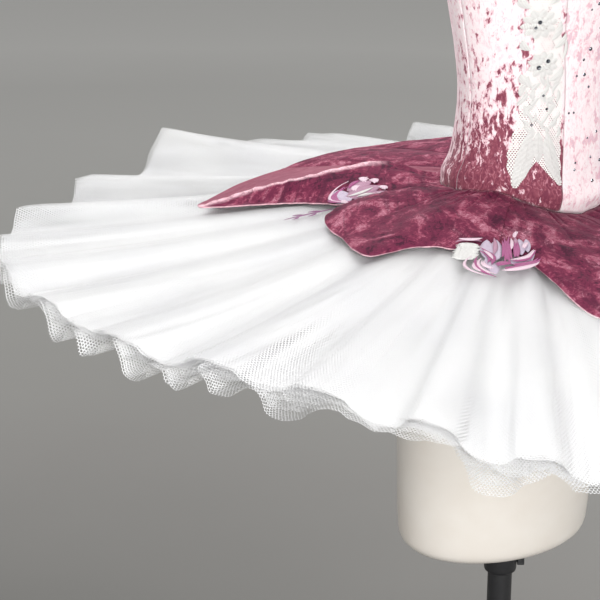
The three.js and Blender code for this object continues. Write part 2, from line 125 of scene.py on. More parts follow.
def clothGrid(name, columns, rows, place, isRing=False):
    # a flat grid, then shaped point by point; place gives each point and where it lies on the cut cloth
    deselectAll()
    bpy.ops.mesh.primitive_grid_add(x_subdivisions=columns, y_subdivisions=rows, size=1)
    piece = bpy.context.object
    piece.name = piece.data.name = name
    mesh = piece.data
    flat = np.zeros(len(mesh.vertices) * 3)
    mesh.vertices.foreach_get("co", flat)
    flat = flat.reshape(-1, 3) + 0.5
    points, cut = place(flat[:, 0], flat[:, 1])
    mesh.vertices.foreach_set("co", (np.stack(points, 1) * metre).ravel())
    corner = np.zeros(len(mesh.loops), int)
    mesh.loops.foreach_get("vertex_index", corner)
    layer = mesh.uv_layers[0] if mesh.uv_layers else mesh.uv_layers.new(name="UVMap")
    layer.data.foreach_set("uv", (np.stack(cut, 1) * metre)[corner].ravel())
    mesh.update()
    if isRing:
        bpy.ops.object.mode_set(mode="EDIT")
        bpy.ops.mesh.select_all(action="SELECT")
        bpy.ops.mesh.remove_doubles(threshold=0.00002)
        bpy.ops.object.mode_set(mode="OBJECT")
    bpy.ops.object.shade_smooth()
    return piece


def selectOnly(piece):
    deselectAll()
    piece.select_set(True)
    bpy.context.view_layer.objects.active = piece


def faceOutwards(piece):
    selectOnly(piece)
    bpy.ops.object.mode_set(mode="EDIT")
    bpy.ops.mesh.select_all(action="SELECT")
    bpy.ops.mesh.normals_make_consistent(inside=False)
    bpy.ops.object.mode_set(mode="OBJECT")


def flipFaces(piece):
    selectOnly(piece)
    bpy.ops.object.mode_set(mode="EDIT")
    bpy.ops.mesh.select_all(action="SELECT")
    bpy.ops.mesh.flip_normals()
    bpy.ops.object.mode_set(mode="OBJECT")


def applyModifier(piece, kind, **settings):
    selectOnly(piece)
    modifier = piece.modifiers.new(kind.title(), kind)
    for name, value in settings.items():
        setattr(modifier, name, value)
    bpy.ops.object.modifier_apply(modifier=modifier.name)


def joinAll(pieces, name):
    deselectAll()
    for piece in pieces:
        piece.select_set(True)
    bpy.context.view_layer.objects.active = pieces[0]
    bpy.ops.object.join()
    whole = bpy.context.object
    whole.name = whole.data.name = name
    return whole


def giveMaterial(piece, *materials):
    piece.data.materials.clear()
    for material in materials:
        piece.data.materials.append(material)


def settle(piece, body, nodes=()):
    selectOnly(piece)
    bpy.ops.object.transform_apply(location=True, rotation=True, scale=True)
    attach(piece, body)
    if nodes:
        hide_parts(*nodes)
    return piece


def areaOf(piece):
    return sum(face.area for face in piece.data.polygons)


# The body's and the skirt's surfaces

hipHeight = 975
form = {
    "height": [510, 516, 532, 620, 720, 820, 885, 935, 975, 1025, 1080, 1130, 1187, 1240, 1290, 1335,
               1375, 1408, 1430, 1446, 1460, 1482, 1512, 1520],
    "half": [106, 120, 126, 130, 136, 140, 135, 123, 112, 102, 98, 103, 113, 122, 127, 134, 145, 148,
             130, 96, 66, 53, 50, 44],
    "front": [76, 89, 95, 98, 101, 102, 96, 87, 81, 75, 72, 76, 83, 87, 85, 77, 68, 58,
              50, 45, 43, 43, 42, 36],
    "back": [80, 93, 99, 102, 106, 109, 105, 93, 84, 77, 73, 76, 82, 87, 90, 87, 80, 70,
             60, 54, 50, 47, 45, 39],
    "centre": [17, 17, 17, 15, 10, 2, -10, -24, -33, -37, -38, -37, -35, -32, -28, -24, -20, -17,
               -14, -12, -12, -14, -18, -18],
    "bustApart": 64, "bustHeight": 1248, "bustRise": 15, "bustWide": 45, "bustTall": 58,
    "dip": 0.4, "dipWide": 45,
}
bodyHalf, bodyFront, bodyBack, bodyCentre = (
    smoothLine(form["height"], form[key]) for key in ("half", "front", "back", "centre"))

cut = {
    "hemAngle": [0, 19, 53, 90, 130, 180], "hemLift": [-20, -12, 9, 6, 1, 3],
    "neckAngle": [0, 26, 60, 90, 130, 180], "neckHeight": [1252, 1284, 1262, 1238, 1222, 1216],
    "seamHeight": [955, 1028, 1095, 1133, 1192, 1250, 1290],
    "seamAngle": [14.5, 15.2, 15.4, 17.6, 20.5, 29, 32],
}
hemLift = smoothLine(cut["hemAngle"], cut["hemLift"])
neckHeight = smoothLine(cut["neckAngle"], cut["neckHeight"])
princessAngle = smoothLine(cut["seamHeight"], cut["seamAngle"])
perDegree = 1.9  # millimetres of bodice for each degree round the body


def wrapped(angle):
    return (np.asarray(angle, float) + 180) % 360 - 180


def hemHeight(angle):
    return hipHeight + hemLift(np.abs(wrapped(angle)))


def bodyPoint(angle, height, out=0.0):
    turn = np.radians(angle)
    across, along = -np.sin(turn), -np.cos(turn)
    depth = np.where(along < 0, bodyFront(height), bodyBack(height))
    x = across * (bodyHalf(height) + out)
    sideways = np.maximum(np.abs(x) - form["bustApart"], 0) / form["bustWide"]
    upwards = (height - form["bustHeight"]) / form["bustTall"]
    dip = 1 - form["dip"] * np.exp(-((x / form["dipWide"]) ** 2))
    between = np.where(np.asarray(out) > 0, 1, dip)
    cup = form["bustRise"] * between * np.exp(-sideways ** 2 - upwards ** 2) * np.maximum(-along, 0)
    return x, bodyCentre(height) + along * (depth + out + cup), height + 0 * x


skirt = {
    "radius": 600, "rimDrop": 87, "rootOut": 3.2, "plateDrop": 4.8,
    "rimAngle": [-180, -155, -125, -90, -55, -30, 0, 36, 54, 80, 108, 139, 166, 180],
    "rimLift": [-10, -12, 4, 20, 26, -8, -4, -20, 28, 34, 28, 3, 12, -10],
}
rimLift = smoothLine(skirt["rimAngle"], skirt["rimLift"])


def rootPoint(angle, drop):
    return bodyPoint(angle, hemHeight(angle) - drop, skirt["rootOut"])


def rootReach(angle, drop):
    x, y, _ = rootPoint(angle, drop)
    return np.hypot(x, y)


def skirtPoint(angle, reach, lift, drop=skirt["plateDrop"]):
    # over the skirt's cone, this far from the centre and this much above the cone
    rootX, rootY, _ = rootPoint(angle, drop)
    turn = np.radians(angle)
    rimX, rimY = -np.sin(turn) * skirt["radius"], -np.cos(turn) * skirt["radius"]
    inner = np.hypot(rootX, rootY)
    share = (reach - inner) / (skirt["radius"] - inner)
    height = mix(hemHeight(angle), hipHeight - skirt["rimDrop"], share)
    height = height + rimLift(wrapped(angle)) * np.maximum(share, 0) ** 2.4
    return mix(rootX, rimX, share), mix(rootY, rimY, share), height + lift


# Net skirt

# Stiff nylon net: white threads round six-sided holes. The real pitch is 2.7 mm, drawn coarser to show.
# The lace is worked on a softer net, whose threads are drawn thick for the stitches that fill it.
netCloth = {"pitch": 3.4, "thread": 0.24, "white": "#FCFCFC", "shade": "#F6F6F7"}
laceNet = {"pitch": 2.4, "thread": 0.48, "white": "#FDFCF8", "shade": "#F0EFEA"}


def netMaterial(name, cloth):
    material, tree, shader = newMaterial(name, Roughness=0.55, Sheen_Weight=0.15, Sheen_Roughness=0.4)
    place = addNode(tree, "ShaderNodeTexCoord").outputs["UV"]
    pitch = cloth["pitch"] * metre
    tall = math.sqrt(3)  # two rows of holes stand this much higher than a hole is wide
    nearest = None
    for shift in (0.0, 0.5):
        cell = addNode(tree, "ShaderNodeVectorMath", {
            0: place, 1: (1 / pitch, 1 / (pitch * tall), 0), 2: (shift, shift, 0)},
            operation="MULTIPLY_ADD").outputs[0]
        part = addNode(tree, "ShaderNodeVectorMath", {0: cell}, operation="FRACTION").outputs[0]
        middle = addNode(tree, "ShaderNodeVectorMath", {
            0: part, 1: (1, tall, 0), 2: (-0.5, -0.5 * tall, 0)}, operation="MULTIPLY_ADD").outputs[0]
        size = addNode(tree, "ShaderNodeVectorMath", {0: middle}, operation="ABSOLUTE").outputs[0]
        parts = addNode(tree, "ShaderNodeSeparateXYZ", {0: size})
        slanted = addNode(tree, "ShaderNodeVectorMath", {0: size, 1: (0.5, 0.5 * tall, 0)},
                          operation="DOT_PRODUCT").outputs["Value"]
        far = addNode(tree, "ShaderNodeMath", {0: parts.outputs["X"], 1: slanted},
                      operation="MAXIMUM").outputs[0]
        nearest = far if nearest is None else addNode(
            tree, "ShaderNodeMath", {0: nearest, 1: far}, operation="MINIMUM").outputs[0]
    edge = 0.5 - cloth["thread"] / 2
    isThread = addNode(tree, "ShaderNodeMapRange", {
        "Value": nearest, "From Min": edge - 0.02, "From Max": edge + 0.02}).outputs["Result"]
    tree.links.new(isThread, shader.inputs["Alpha"])
    cloud = addNode(tree, "ShaderNodeTexNoise", {
        "Vector": place, "Scale": 9.0, "Detail": 2.0}).outputs["Fac"]
    colour = rampOf(tree, cloud, [(0.35, cloth["shade"]), (0.6, cloth["white"])])
    tree.links.new(colour, shader.inputs["Base Color"])
    return material


# Ten layers from the top down. The upper four fold in broad flaps, and the others hang under them in loops.
# For each layer: how deep its folds are, how much shorter it is, and how late they rise towards the rim.
# A layer is gathered to the yoke's length round, and is as wide as from the yoke's reach to the rim.
netSkirt = {
    "perFold": 11, "rows": 18, "root": -5.6, "rootStep": 4.4, "rimStep": 2.0, "steep": 0.11, "flaps": 4,
    "belowPlate": 1.5, "closer": 2, "tallest": 12, "shorten": 0.08, "hemPoints": 6000,
    "yokeRound": 680, "yokeReach": 116,
    "depth": [1.0, 0.95, 0.9, 0.85, 0.4, 0.45, 0.5, 0.6, 0.85, 1.0],
    "shorter": [0, 3, 7, 11, 8, 14, 5, 12, 6, 0],
    "grow": [1.0, 1.0, 1.05, 1.05, 1.2, 1.2, 1.3, 1.3, 1.5, 1.5],
}
# The upper layers' folds: where each crest is, how high it stands, and how deep the trough after it falls.
upperFolds = {
    "crest": [-4, 7, 17, 27, 37, 46, 56, 67, 79, 92, 104, 117, 131, 148, 166, 180.6, 190, 205.6, 220, 233,
              247, 260, 272, 285, 298, 310, 322, 334, 345],
    "height": [9, 12, 8, 14, 9, 12, 5, 8, 4, 6, 9, 6, 13, 3, 24, 4, 5, 10, 12, 8,
               10, 9, 12, 8, 10, 11, 9, 12, 8],
    "trough": [-9, -12, -8, -15, -9, -12, -5, -9, -4, -8, -6, -16, -31, -35, -18, -6, -25, -20, -14, -12,
               -10, -13, -9, -12, -10, -12, -9, -11, -8],
    # where the trough lies between its crests: half way, or late where a flat flap falls slowly
    "late": [0.52, 0.52, 0.52, 0.52, 0.52, 0.52, 0.52, 0.52, 0.52, 0.52, 0.55, 0.78, 0.94, 0.7, 0.92, 0.85,
             0.88, 0.8, 0.6, 0.52, 0.7, 0.52, 0.52, 0.75, 0.52, 0.6, 0.52, 0.52, 0.52],
    "sway": 0.35, "uneven": (0.85, 1.1), "sheerAbove": 10.5, "sheerShare": 0.3, "sheerFrom": 2,
}
# The lower layers' loops: where each hangs lowest and how far under the rim. The rest are spaced unevenly.
lowerFolds = {
    "count": 34, "first": [32.7, 41.5, 50, 60.6, 66.5, 71.5, 77.3, 84, 90.3],
    "hang": [26, 40, 16, 34, 27, 32, 41, 36, 40], "least": 13, "most": 40, "shallowest": 6,
    "tuckedUnder": 3, "tuckedMore": 6, "corner": (0.18, 0.42), "uneven": (0.9, 1.06),
    "stray": 2.6, "strayLast": 0.5, "lastTwo": 8,
}


def lowerTroughs():
    first = lowerFolds["first"]
    others = lowerFolds["count"] - len(first)
    step = (360 - (first[-1] - first[0])) / (others + 1)
    uneven = [1.9 * math.sin(2.4 * i + 0.6) + 1.1 * math.sin(5.3 * i) for i in range(others)]
    return np.array(first + [first[-1] + step * (i + 1) + uneven[i] for i in range(others)])


def foldTurns(index):
    # the angles and heights where this layer's hem turns, crest and trough by turns
    draw = np.random.default_rng(40 + index)
    depth = netSkirt["depth"][index]
    rim = -netSkirt["rimStep"] * index
    if index < netSkirt["flaps"]:
        sway = draw.uniform(-upperFolds["sway"], upperFolds["sway"], len(upperFolds["crest"]))
        crests = np.array(upperFolds["crest"], float) + sway * index
        nextCrests = np.r_[crests[1:], crests[0] + 360]
        angles = np.stack([crests, mix(crests, nextCrests, np.array(upperFolds["late"]))], 1).ravel()
        heights = np.stack([upperFolds["height"], upperFolds["trough"]], 1).ravel() * depth
        heights = heights * draw.uniform(*upperFolds["uneven"], len(heights))
        if index >= upperFolds["sheerFrom"]:
            # only two layers stand up in the tallest flaps, so these are sheer
            isTall = heights > upperFolds["sheerAbove"]
            heights = np.where(isTall, heights * upperFolds["sheerShare"], heights)
    else:
        stray = lowerFolds["strayLast" if index >= lowerFolds["lastTwo"] else "stray"]
        troughs = lowerTroughs() + draw.uniform(-stray, stray, lowerFolds["count"])
        nextTroughs = np.r_[troughs[1:], troughs[0] + 360]
        # each loop hangs close to the corner on its left and rises slowly to the one on its right
        corners = mix(troughs, nextTroughs, draw.uniform(*lowerFolds["corner"], lowerFolds["count"]))
        angles = np.stack([troughs, corners], 1).ravel()
        hang = draw.uniform(lowerFolds["least"], lowerFolds["most"], lowerFolds["count"])
        hang[:len(lowerFolds["hang"])] = lowerFolds["hang"]
        down = -np.maximum(hang * depth, lowerFolds["shallowest"])
        down = down * draw.uniform(*lowerFolds["uneven"], lowerFolds["count"])
        up = -lowerFolds["tuckedUnder"] - draw.uniform(0, lowerFolds["tuckedMore"], lowerFolds["count"])
        heights = np.stack([down, up], 1).ravel() - rim
    return np.r_[angles, angles[0] + 360], np.r_[heights, heights[0]]


hems = {}  # the angle and lift along each layer's hem


def netLayer(index):
    draw = np.random.default_rng(80 + index)
    angles, heights = foldTurns(index)
    isUpper = index < netSkirt["flaps"]
    root = netSkirt["root"] - netSkirt["rootStep"] * index
    rim = -netSkirt["rimStep"] * index
    radius = skirt["radius"] - 3 - netSkirt["shorter"][index]
    phase = draw.uniform(0, 6.28, 4)
    drop = netSkirt["belowPlate"] - root

    def shape(u, v):
        along = u * (len(angles) - 1)
        i = np.minimum(along.astype(int), len(angles) - 2)
        part = along - i
        share = v ** 0.9
        steep = netSkirt["steep"] * share ** 1.2 * np.sin(2 * np.pi * part)
        angle = mix(angles[i], angles[i + 1], part + steep)
        fromCrest = np.where((i % 2 == 0) == isUpper, part, 1 - part)
        if isUpper:  # soft folds, or flat flaps with a sharp crest where the trough lies late
            soft = fromCrest ** 1.25
            soft = mix((1 - np.cos(np.pi * soft)) / 2, soft, 0.6)
            sharp = np.where(i % 2 == 0, fromCrest, np.sin(np.pi / 2 * fromCrest) ** 0.8)
            isFlap = np.clip((np.array(upperFolds["late"])[i // 2] - 0.55) / 0.2, 0, 1)
            fall = mix(soft, sharp, isFlap)
        else:  # loops with round bottoms and sharp corners between them
            fall = np.sin(np.pi / 2 * fromCrest) ** 0.9
            fall = np.where(i % 2 == 0, fall, mix(fall, fromCrest, 0.6))
        crest, trough = np.where(i % 2 == 0, i, i + 1), np.where(i % 2 == 0, i + 1, i)
        if not isUpper:
            crest, trough = trough, crest
        fold = mix(heights[crest], heights[trough], fall)
        if not isUpper:  # the lower layers follow the flaps above them
            above = np.interp(angle, *hems[netSkirt["flaps"] - 1], period=360)
            fold = np.minimum(fold, above - netSkirt["closer"] - rim)
        turn = np.radians(angle)
        ragged = 3 * np.sin(turn * 5 + phase[0]) + 2.2 * np.sin(turn * 23 + phase[1])
        reach = mix(rootReach(angle, drop), radius - 4 + ragged, share)
        small = np.sin(turn * 97 + phase[2]) * np.sin(turn * 31 + phase[3])
        # the tallest crests are the shortest
        inwards = netSkirt["grow"][index] + netSkirt["shorten"] * np.maximum(fold - netSkirt["tallest"], 0)
        lift = mix(root, rim, share) + fold * share ** inwards + 1.4 * small * share ** 2
        return angle, reach, lift

    fine = np.linspace(0, 1, netSkirt["hemPoints"])
    hemAngle, hemReach, hemHang = shape(fine, np.ones(len(fine)))
    hems[index] = (hemAngle, hemHang)
    hem = np.stack(skirtPoint(hemAngle, hemReach, hemHang, drop), 1)
    hemLength = np.r_[0, np.cumsum(np.linalg.norm(np.diff(hem, axis=0), axis=1))]

    def place(u, v):
        angle, reach, lift = shape(u, v)
        return skirtPoint(angle, reach, lift, drop), (np.interp(u, fine, hemLength), reach)

    columns = (len(angles) - 1) * netSkirt["perFold"]
    piece = clothGrid(f"netLayer{index + 1:02d}", columns, netSkirt["rows"], place, True)
    return piece, radius - netSkirt["yokeReach"], hemLength[-1]


netWhite = netMaterial("whiteNylonNet", netCloth)
for index in range(len(netSkirt["depth"])):
    layer, width, length = netLayer(index)
    giveMaterial(layer, netWhite)
    settle(layer, "form", [f"net_tier_{1 + int(index * 0.4)}"])
print("net skirt:", len(netSkirt["depth"]), "layers, lowest hem", round(length * metre, 2), "m")


# Velvet plate

# Crushed velvet: the pile lies in many directions, dark where it stands and pale where it is flattened.
plateVelvet = {
    # the palest pink below is wear and painted highlight, for rims and the hip fold
    "dark": "#43132C", "mid": "#6C2340", "light": "#913F58", "flat": "#C98B9D", "wearAndHighlightPink": "#F8CBD5",
    # of the two colours below, the mauve is painted sheen for the hip petal's far slope
    "streak": "#47132E", "farSlopeSheen": "#A06C78",
    "patch": 44, "crush": 8, "crease": 13.6, "streakWide": 22, "streakLong": 60,
}


def velvetMaterial(name, tones):
    material, tree, shader = newMaterial(name, Roughness=0.75, Sheen_Weight=0.35, Sheen_Roughness=0.3,
                                         Sheen_Tint=hexColour("#D9A0B0"), Specular_IOR_Level=0.2)
    place = addNode(tree, "ShaderNodeTexCoord").outputs["Object"]
    patch = addNode(tree, "ShaderNodeTexNoise", {
        "Vector": place, "Scale": 1000 / tones["patch"], "Detail": 6.0, "Roughness": 0.62,
        "Distortion": 1.4}).outputs["Fac"]
    crush = addNode(tree, "ShaderNodeTexNoise", {
        "Vector": place, "Scale": 1000 / tones["crush"], "Detail": 4.0, "Roughness": 0.6,
        "Distortion": 2.2}).outputs["Fac"]
    both = addNode(tree, "ShaderNodeMix", {0: 0.33, 2: patch, 3: crush}).outputs[0]
    colour = rampOf(tree, both, [
        (0.4, tones["dark"]), (0.455, tones["mid"]), (0.505, tones["mid"]), (0.55, tones["light"]),
        (0.7, tones["flat"])])
    # long dark streaks down the cloth, where the pile stands in rows of soft wrinkles
    onCloth = addNode(tree, "ShaderNodeTexCoord").outputs["UV"]
    drawn = addNode(tree, "ShaderNodeVectorMath", {
        0: onCloth, 1: (1000 / tones["streakWide"], 1000 / tones["streakLong"], 0)},
        operation="MULTIPLY").outputs[0]
    rows = addNode(tree, "ShaderNodeTexNoise", {
        "Vector": drawn, "Scale": 1.0, "Detail": 3.0, "Roughness": 0.55, "Distortion": 1.1}).outputs["Fac"]
    isStreak = addNode(tree, "ShaderNodeMapRange", {
        "Value": rows, "From Min": 0.48, "From Max": 0.34, "To Max": 0.55}).outputs[0]
    colour = addNode(tree, "ShaderNodeMix", {0: isStreak, 6: colour, 7: hexColour(tones["streak"])},
                     data_type="RGBA").outputs[2]
    # thin bent creases, where the pile was pressed flat
    bent = addNode(tree, "ShaderNodeTexNoise", {
        "Vector": place, "Scale": 1000 / tones["crease"], "Detail": 1.0,
        "Distortion": 3.0}).outputs["Fac"]
    fromLine = addNode(tree, "ShaderNodeMath", {0: bent, 1: 0.5, 2: 0.016}, operation="COMPARE").outputs[0]
    isPressed = addNode(tree, "ShaderNodeMapRange", {
        "Value": patch, "From Min": 0.53, "From Max": 0.63}).outputs[0]
    line = addNode(tree, "ShaderNodeMath", {0: fromLine, 1: isPressed}, operation="MULTIPLY").outputs[0]
    lined = addNode(tree, "ShaderNodeMix", {0: line, 6: colour, 7: hexColour(tones["flat"])},
                    data_type="RGBA").outputs[2]
    # beyond the hip fold the far slope is painted lighter, a painted sheen; rims and the fold ridge get a
    # pale line of wear and painted highlight
    farSlopeSheen = addNode(tree, "ShaderNodeAttribute", attribute_name="farSlopeSheen").outputs["Fac"]
    farSlopeSheenTone = addNode(tree, "ShaderNodeMix", {
        0: both, 6: hexColour(tones["light"]), 7: hexColour(tones["farSlopeSheen"])}, data_type="RGBA").outputs[2]
    lined = addNode(tree, "ShaderNodeMix", {0: farSlopeSheen, 6: lined, 7: farSlopeSheenTone},
                    data_type="RGBA").outputs[2]
    # that pale is wear and painted highlight together, broken up by the crush
    wearAndHighlight = addNode(tree, "ShaderNodeAttribute", attribute_name="wearAndHighlight").outputs["Fac"]
    rough = addNode(tree, "ShaderNodeMapRange", {
        "Value": crush, "From Min": 0.3, "From Max": 0.6, "To Min": 0.35}).outputs[0]
    share = addNode(tree, "ShaderNodeMath", {0: wearAndHighlight, 1: rough}, operation="MULTIPLY").outputs[0]
    finished = addNode(tree, "ShaderNodeMix", {0: share, 6: lined, 7: hexColour(tones["wearAndHighlightPink"])},
                       data_type="RGBA")
    tree.links.new(finished.outputs[2], shader.inputs["Base Color"])
    relief = addNode(tree, "ShaderNodeBump", {
        "Strength": 0.7, "Distance": 0.002, "Height": both}).outputs["Normal"]
    tree.links.new(relief, shader.inputs["Normal"])
    return material


burgundyVelvet = velvetMaterial("crushedBurgundyVelvet", plateVelvet)

# The plate's petals: how far each reaches at each angle, and how high it puffs.
# The hip petal has a sharp fold, with its ridge at foldAngle and the foot of its near slope at nearAngle.
plate = {
    "thickness": 1.4, "drop": skirt["plateDrop"], "tuck": 3, "tuckIn": 32, "puff": 130, "tucks": 41,
    "tuckDepth": 3.4, "tuckLong": 38, "tuckVaries": 14, "curl": 0.9, "dish": 12,
    "rows": 44, "columnsPerDegree": 1.8, "wrinkles": (1.1, 38, 0.55, 15),
    # how wide the pale bands of wear and painted highlight are at rims and on the hip fold, and how strong
    # the far slope's painted sheen is
    "rimWearAndHighlight": 1.5, "foldWearAndHighlight": 3.4, "farSlopeSheen": 0.82,
    "foldReach": [110, 135, 162, 200, 250, 305, 368],
    "foldAngle": [136, 134, 132, 127.5, 125, 126.5, 124.2],
    "foldRise": [5, 16, 25, 26, 22, 15, 6],
    "nearReach": [110, 227, 249, 299, 368], "nearAngle": [104.6, 109, 115, 122, 123.6],
}
petalRows = {
    "petal_front": {"angle": [-45, -37, -32, -27, -14, 0, 14, 27, 32, 37, 45],
                    "reach": [238, 262, 300, 364, 398, 432, 398, 364, 300, 262, 238],
                    "rise": [1, 6, 8, 8, 8, 11, 8, 8, 8, 6, 1], "over": 0.6, "spill": (1.3, 1.3)},
    "petal_side": {"angle": [45.4, 54, 60, 65, 70, 76, 83, 90, 95, 100.5, 104.2],
                   "reach": [240, 266, 268, 282, 312, 303, 286, 277, 268, 252, 216],
                   "rise": [1, 4, 7, 11, 11, 6, 5, 10, 14, 13, 8], "over": 2.2, "spill": (0.6, 1.6)},
    "petal_hip": {"angle": [104.6, 109, 113.5, 117.5, 120.5, 124, 129, 134, 140, 146, 151.6],
                  "reach": [208, 226, 240, 260, 292, 368, 358, 346, 334, 318, 302],
                  "rise": [1, 5, 11, 17, 21, 22, 18, 13, 9, 5, 1], "over": 1.2, "spill": (0.8, 0.8)},
    "petal_back": {"angle": [152, 158, 165, 172, 179.9], "reach": [302, 298, 290, 291, 294],
                   "rise": [1, 7, 8, 6, 2], "over": 0.6, "spill": (0.5, 0)},
}
foldAngle = smoothLine(plate["foldReach"], plate["foldAngle"])
foldRise = smoothLine(plate["foldReach"], plate["foldRise"])
nearAngle = smoothLine(plate["nearReach"], plate["nearAngle"])
foldTip, tipReach = plate["foldAngle"][-1], plate["foldReach"][-1]
hipEnd = petalRows["petal_hip"]["angle"][-1]


def petalReach(name, angle):
    rows = petalRows[name]
    straight = np.interp(angle, rows["angle"], rows["reach"])
    return mix(straight, smoothLine(rows["angle"], rows["reach"])(angle), 0.6)


def foldLift(angle, reach):
    # a sharp fold that runs outwards to the tip: steep on the near side, gentle on the far side
    ridge, near = foldAngle(reach), nearAngle(reach)
    far = np.maximum(hipEnd - ridge, 8)
    before = np.clip((angle - near) / np.maximum(ridge - near, 0.8), 0, 1)
    beyond = np.clip((angle - ridge) / far, 0, 1)
    return foldRise(reach) * np.where(angle < ridge, before ** 1.15, 0.15 + 0.85 * (1 - beyond) ** 1.3)


def plateLift(name, angle, reach):
    rows = petalRows[name]
    fromRoot = reach - rootReach(angle, plate["drop"])
    outwards = np.clip(fromRoot / (petalReach(name, angle) - reach + fromRoot), 0, 1)
    puff = np.sin(np.clip(fromRoot / plate["puff"], 0, 1) * np.pi / 2) ** 1.2
    tuck = plate["tuck"] * np.clip(1 - fromRoot / plate["tuckIn"], 0, 1)
    rise = smoothLine(rows["angle"], rows["rise"])(angle) * puff
    if name == "petal_hip":
        rise = foldLift(angle, reach)
    # small tucks, where the plate is eased in at the waist
    uneven = np.sin(angle * 0.31) + 0.6 * np.sin(angle * 0.83 + 1)
    eased = (1 - np.abs(np.sin(np.radians(angle * plate["tucks"] / 2) + uneven))) ** 2.5
    fades = np.exp(-np.clip(fromRoot - 8, 0, None) / (plate["tuckLong"] + plate["tuckVaries"] * uneven))
    eased = eased * plate["tuckDepth"] * fades * np.clip(fromRoot / 8, 0, 1)
    dish = plate["dish"] * (fromRoot / skirt["radius"]) ** 2
    return rise * (1 - plate["curl"] * outwards ** 6) - tuck - eased + dish


def makePetal(name, side, seed):
    rows = petalRows[name]
    low, high = rows["angle"][0] - rows["spill"][0], rows["angle"][-1] + rows["spill"][1]
    columns = max(int((high - low) * plate["columnsPerDegree"]), 60)
    tip = (foldTip - low) / (high - low)
    mark = {}

    def place(u, v):
        out = 1 - (1 - v) ** 1.7
        if name == "petal_hip":  # columns crowd along the fold and follow it
            away = 2 * u - 1
            u = tip + np.sign(away) * np.abs(away) ** 1.4 * np.where(away < 0, tip, 1 - tip)
        rim = mix(low, high, u)
        angle = rim
        if name == "petal_hip":
            along = mix(rootReach(foldTip, plate["drop"]), tipReach, out)
            follow = np.where(u < tip, u / tip, (1 - u) / (1 - tip))
            angle = rim + (foldAngle(along) - foldTip) * follow
        reach = mix(rootReach(angle, plate["drop"]), petalReach(name, np.abs(rim)), out)
        lift = plateLift(name, np.abs(angle), reach) + rows["over"]
        along, across = reach, np.radians(angle) * reach
        edge = np.minimum(np.minimum(u, 1 - u) * (high - low) * 4, (1 - v) * 60)
        broad, broadSize, fine, fineSize = plate["wrinkles"]
        wrinkles = broad * ripples(along, across, broadSize, seed)
        wrinkles = wrinkles + fine * ripples(along, across, fineSize, seed + 1)
        lift = lift + wrinkles * np.clip(edge / 6, 0, 1)
        # a band at the rim is marked for a pale line of wear and painted highlight
        mark["wearAndHighlight"] = np.clip((v - 1) * plate["rows"] / plate["rimWearAndHighlight"] + 1, 0, 1)
        mark["farSlopeSheen"] = 0 * v
        if name == "petal_hip":
            aside = np.radians((u - tip) * (high - low)) * reach
            isOut = np.clip((reach - 150) / 25, 0, 1)
            # along the fold ridge the same pale line of wear and painted highlight
            onFoldHighlight = np.clip(1.4 - np.abs(aside) / plate["foldWearAndHighlight"], 0, 1) * isOut
            # beyond the ridge the far slope is marked for painted sheen
            mark["farSlopeSheen"] = plate["farSlopeSheen"] * np.clip(aside / 3, 0, 1)
            mark["wearAndHighlight"] = np.maximum(mark["wearAndHighlight"], onFoldHighlight)
        return skirtPoint(side * angle, reach, lift), (across, along)

    piece = clothGrid(f"{name}{'Right' if side > 0 else 'Left'}Velvet", columns, plate["rows"], place)
    for key, values in mark.items():
        points = piece.data.attributes.new(key, "FLOAT", "POINT")
        points.data.foreach_set("value", values.astype(np.float32))
    return piece


def finishPetal(piece, side):
    if side < 0:
        flipFaces(piece)
    flatArea = areaOf(piece) / 1.02
    applyModifier(piece, "SOLIDIFY", thickness=plate["thickness"] * metre, offset=-1)
    giveMaterial(piece, burgundyVelvet)
    return flatArea


for number, name in enumerate(petalRows):
    for side in (1, -1):
        if name == "petal_front" and side < 0:
            continue
        petal = makePetal(name, side, 60 + 5 * number + side)
        box = np.array([v.co[:] for v in petal.data.vertices])
        flatArea = finishPetal(petal, side)
        node = name if name == "petal_front" else f"{name}_{'right' if side > 0 else 'left'}"
        settle(petal, "form", [node])
        width, length = sorted(box.max(0) - box.min(0))[1:]
print("velvet plate: done")


# Bodice

# Pale pink velvet, printed in blotches, from nearly plain at the top to solid burgundy at the hem.
bodiceTones = {
    "pale": "#FCF0F1", "rose": "#F6DBE0", "blotch": "#96505F", "deep": "#7C3A4E", "fleck": "#C07F8E",
    "halo": "#E3A9B7", "centreBlotch": "#E4C6D0",
}
bodice = {"ease": 1.6, "thickness": 1.6, "seamTurn": 0.18, "flare": 4.5, "hemLap": 2.4, "rolled": 0.6,
          "seamGap": 0.1, "lowEnd": 968, "highEnd": 1262, "rows": 84}
# How strong the noise must be for a blotch, at each height: the lower, the more velvet is covered.
# The centre panel is alike all the way up.
blotchLimit = {"height": [968, 1000, 1030, 1055, 1085, 1110, 1150, 1200, 1290],
               "limit": [0.36, 0.40, 0.46, 0.515, 0.555, 0.585, 0.605, 0.62, 0.63], "centre": 0.625}
# Towards the side the blotches thin out, over this stretch from front to back and by this much.
# They also wander, in patches of this size and by this much.
blotchSide = {"from": -45, "to": 5, "more": 0.07, "wander": 70, "wanderBy": 0.1}


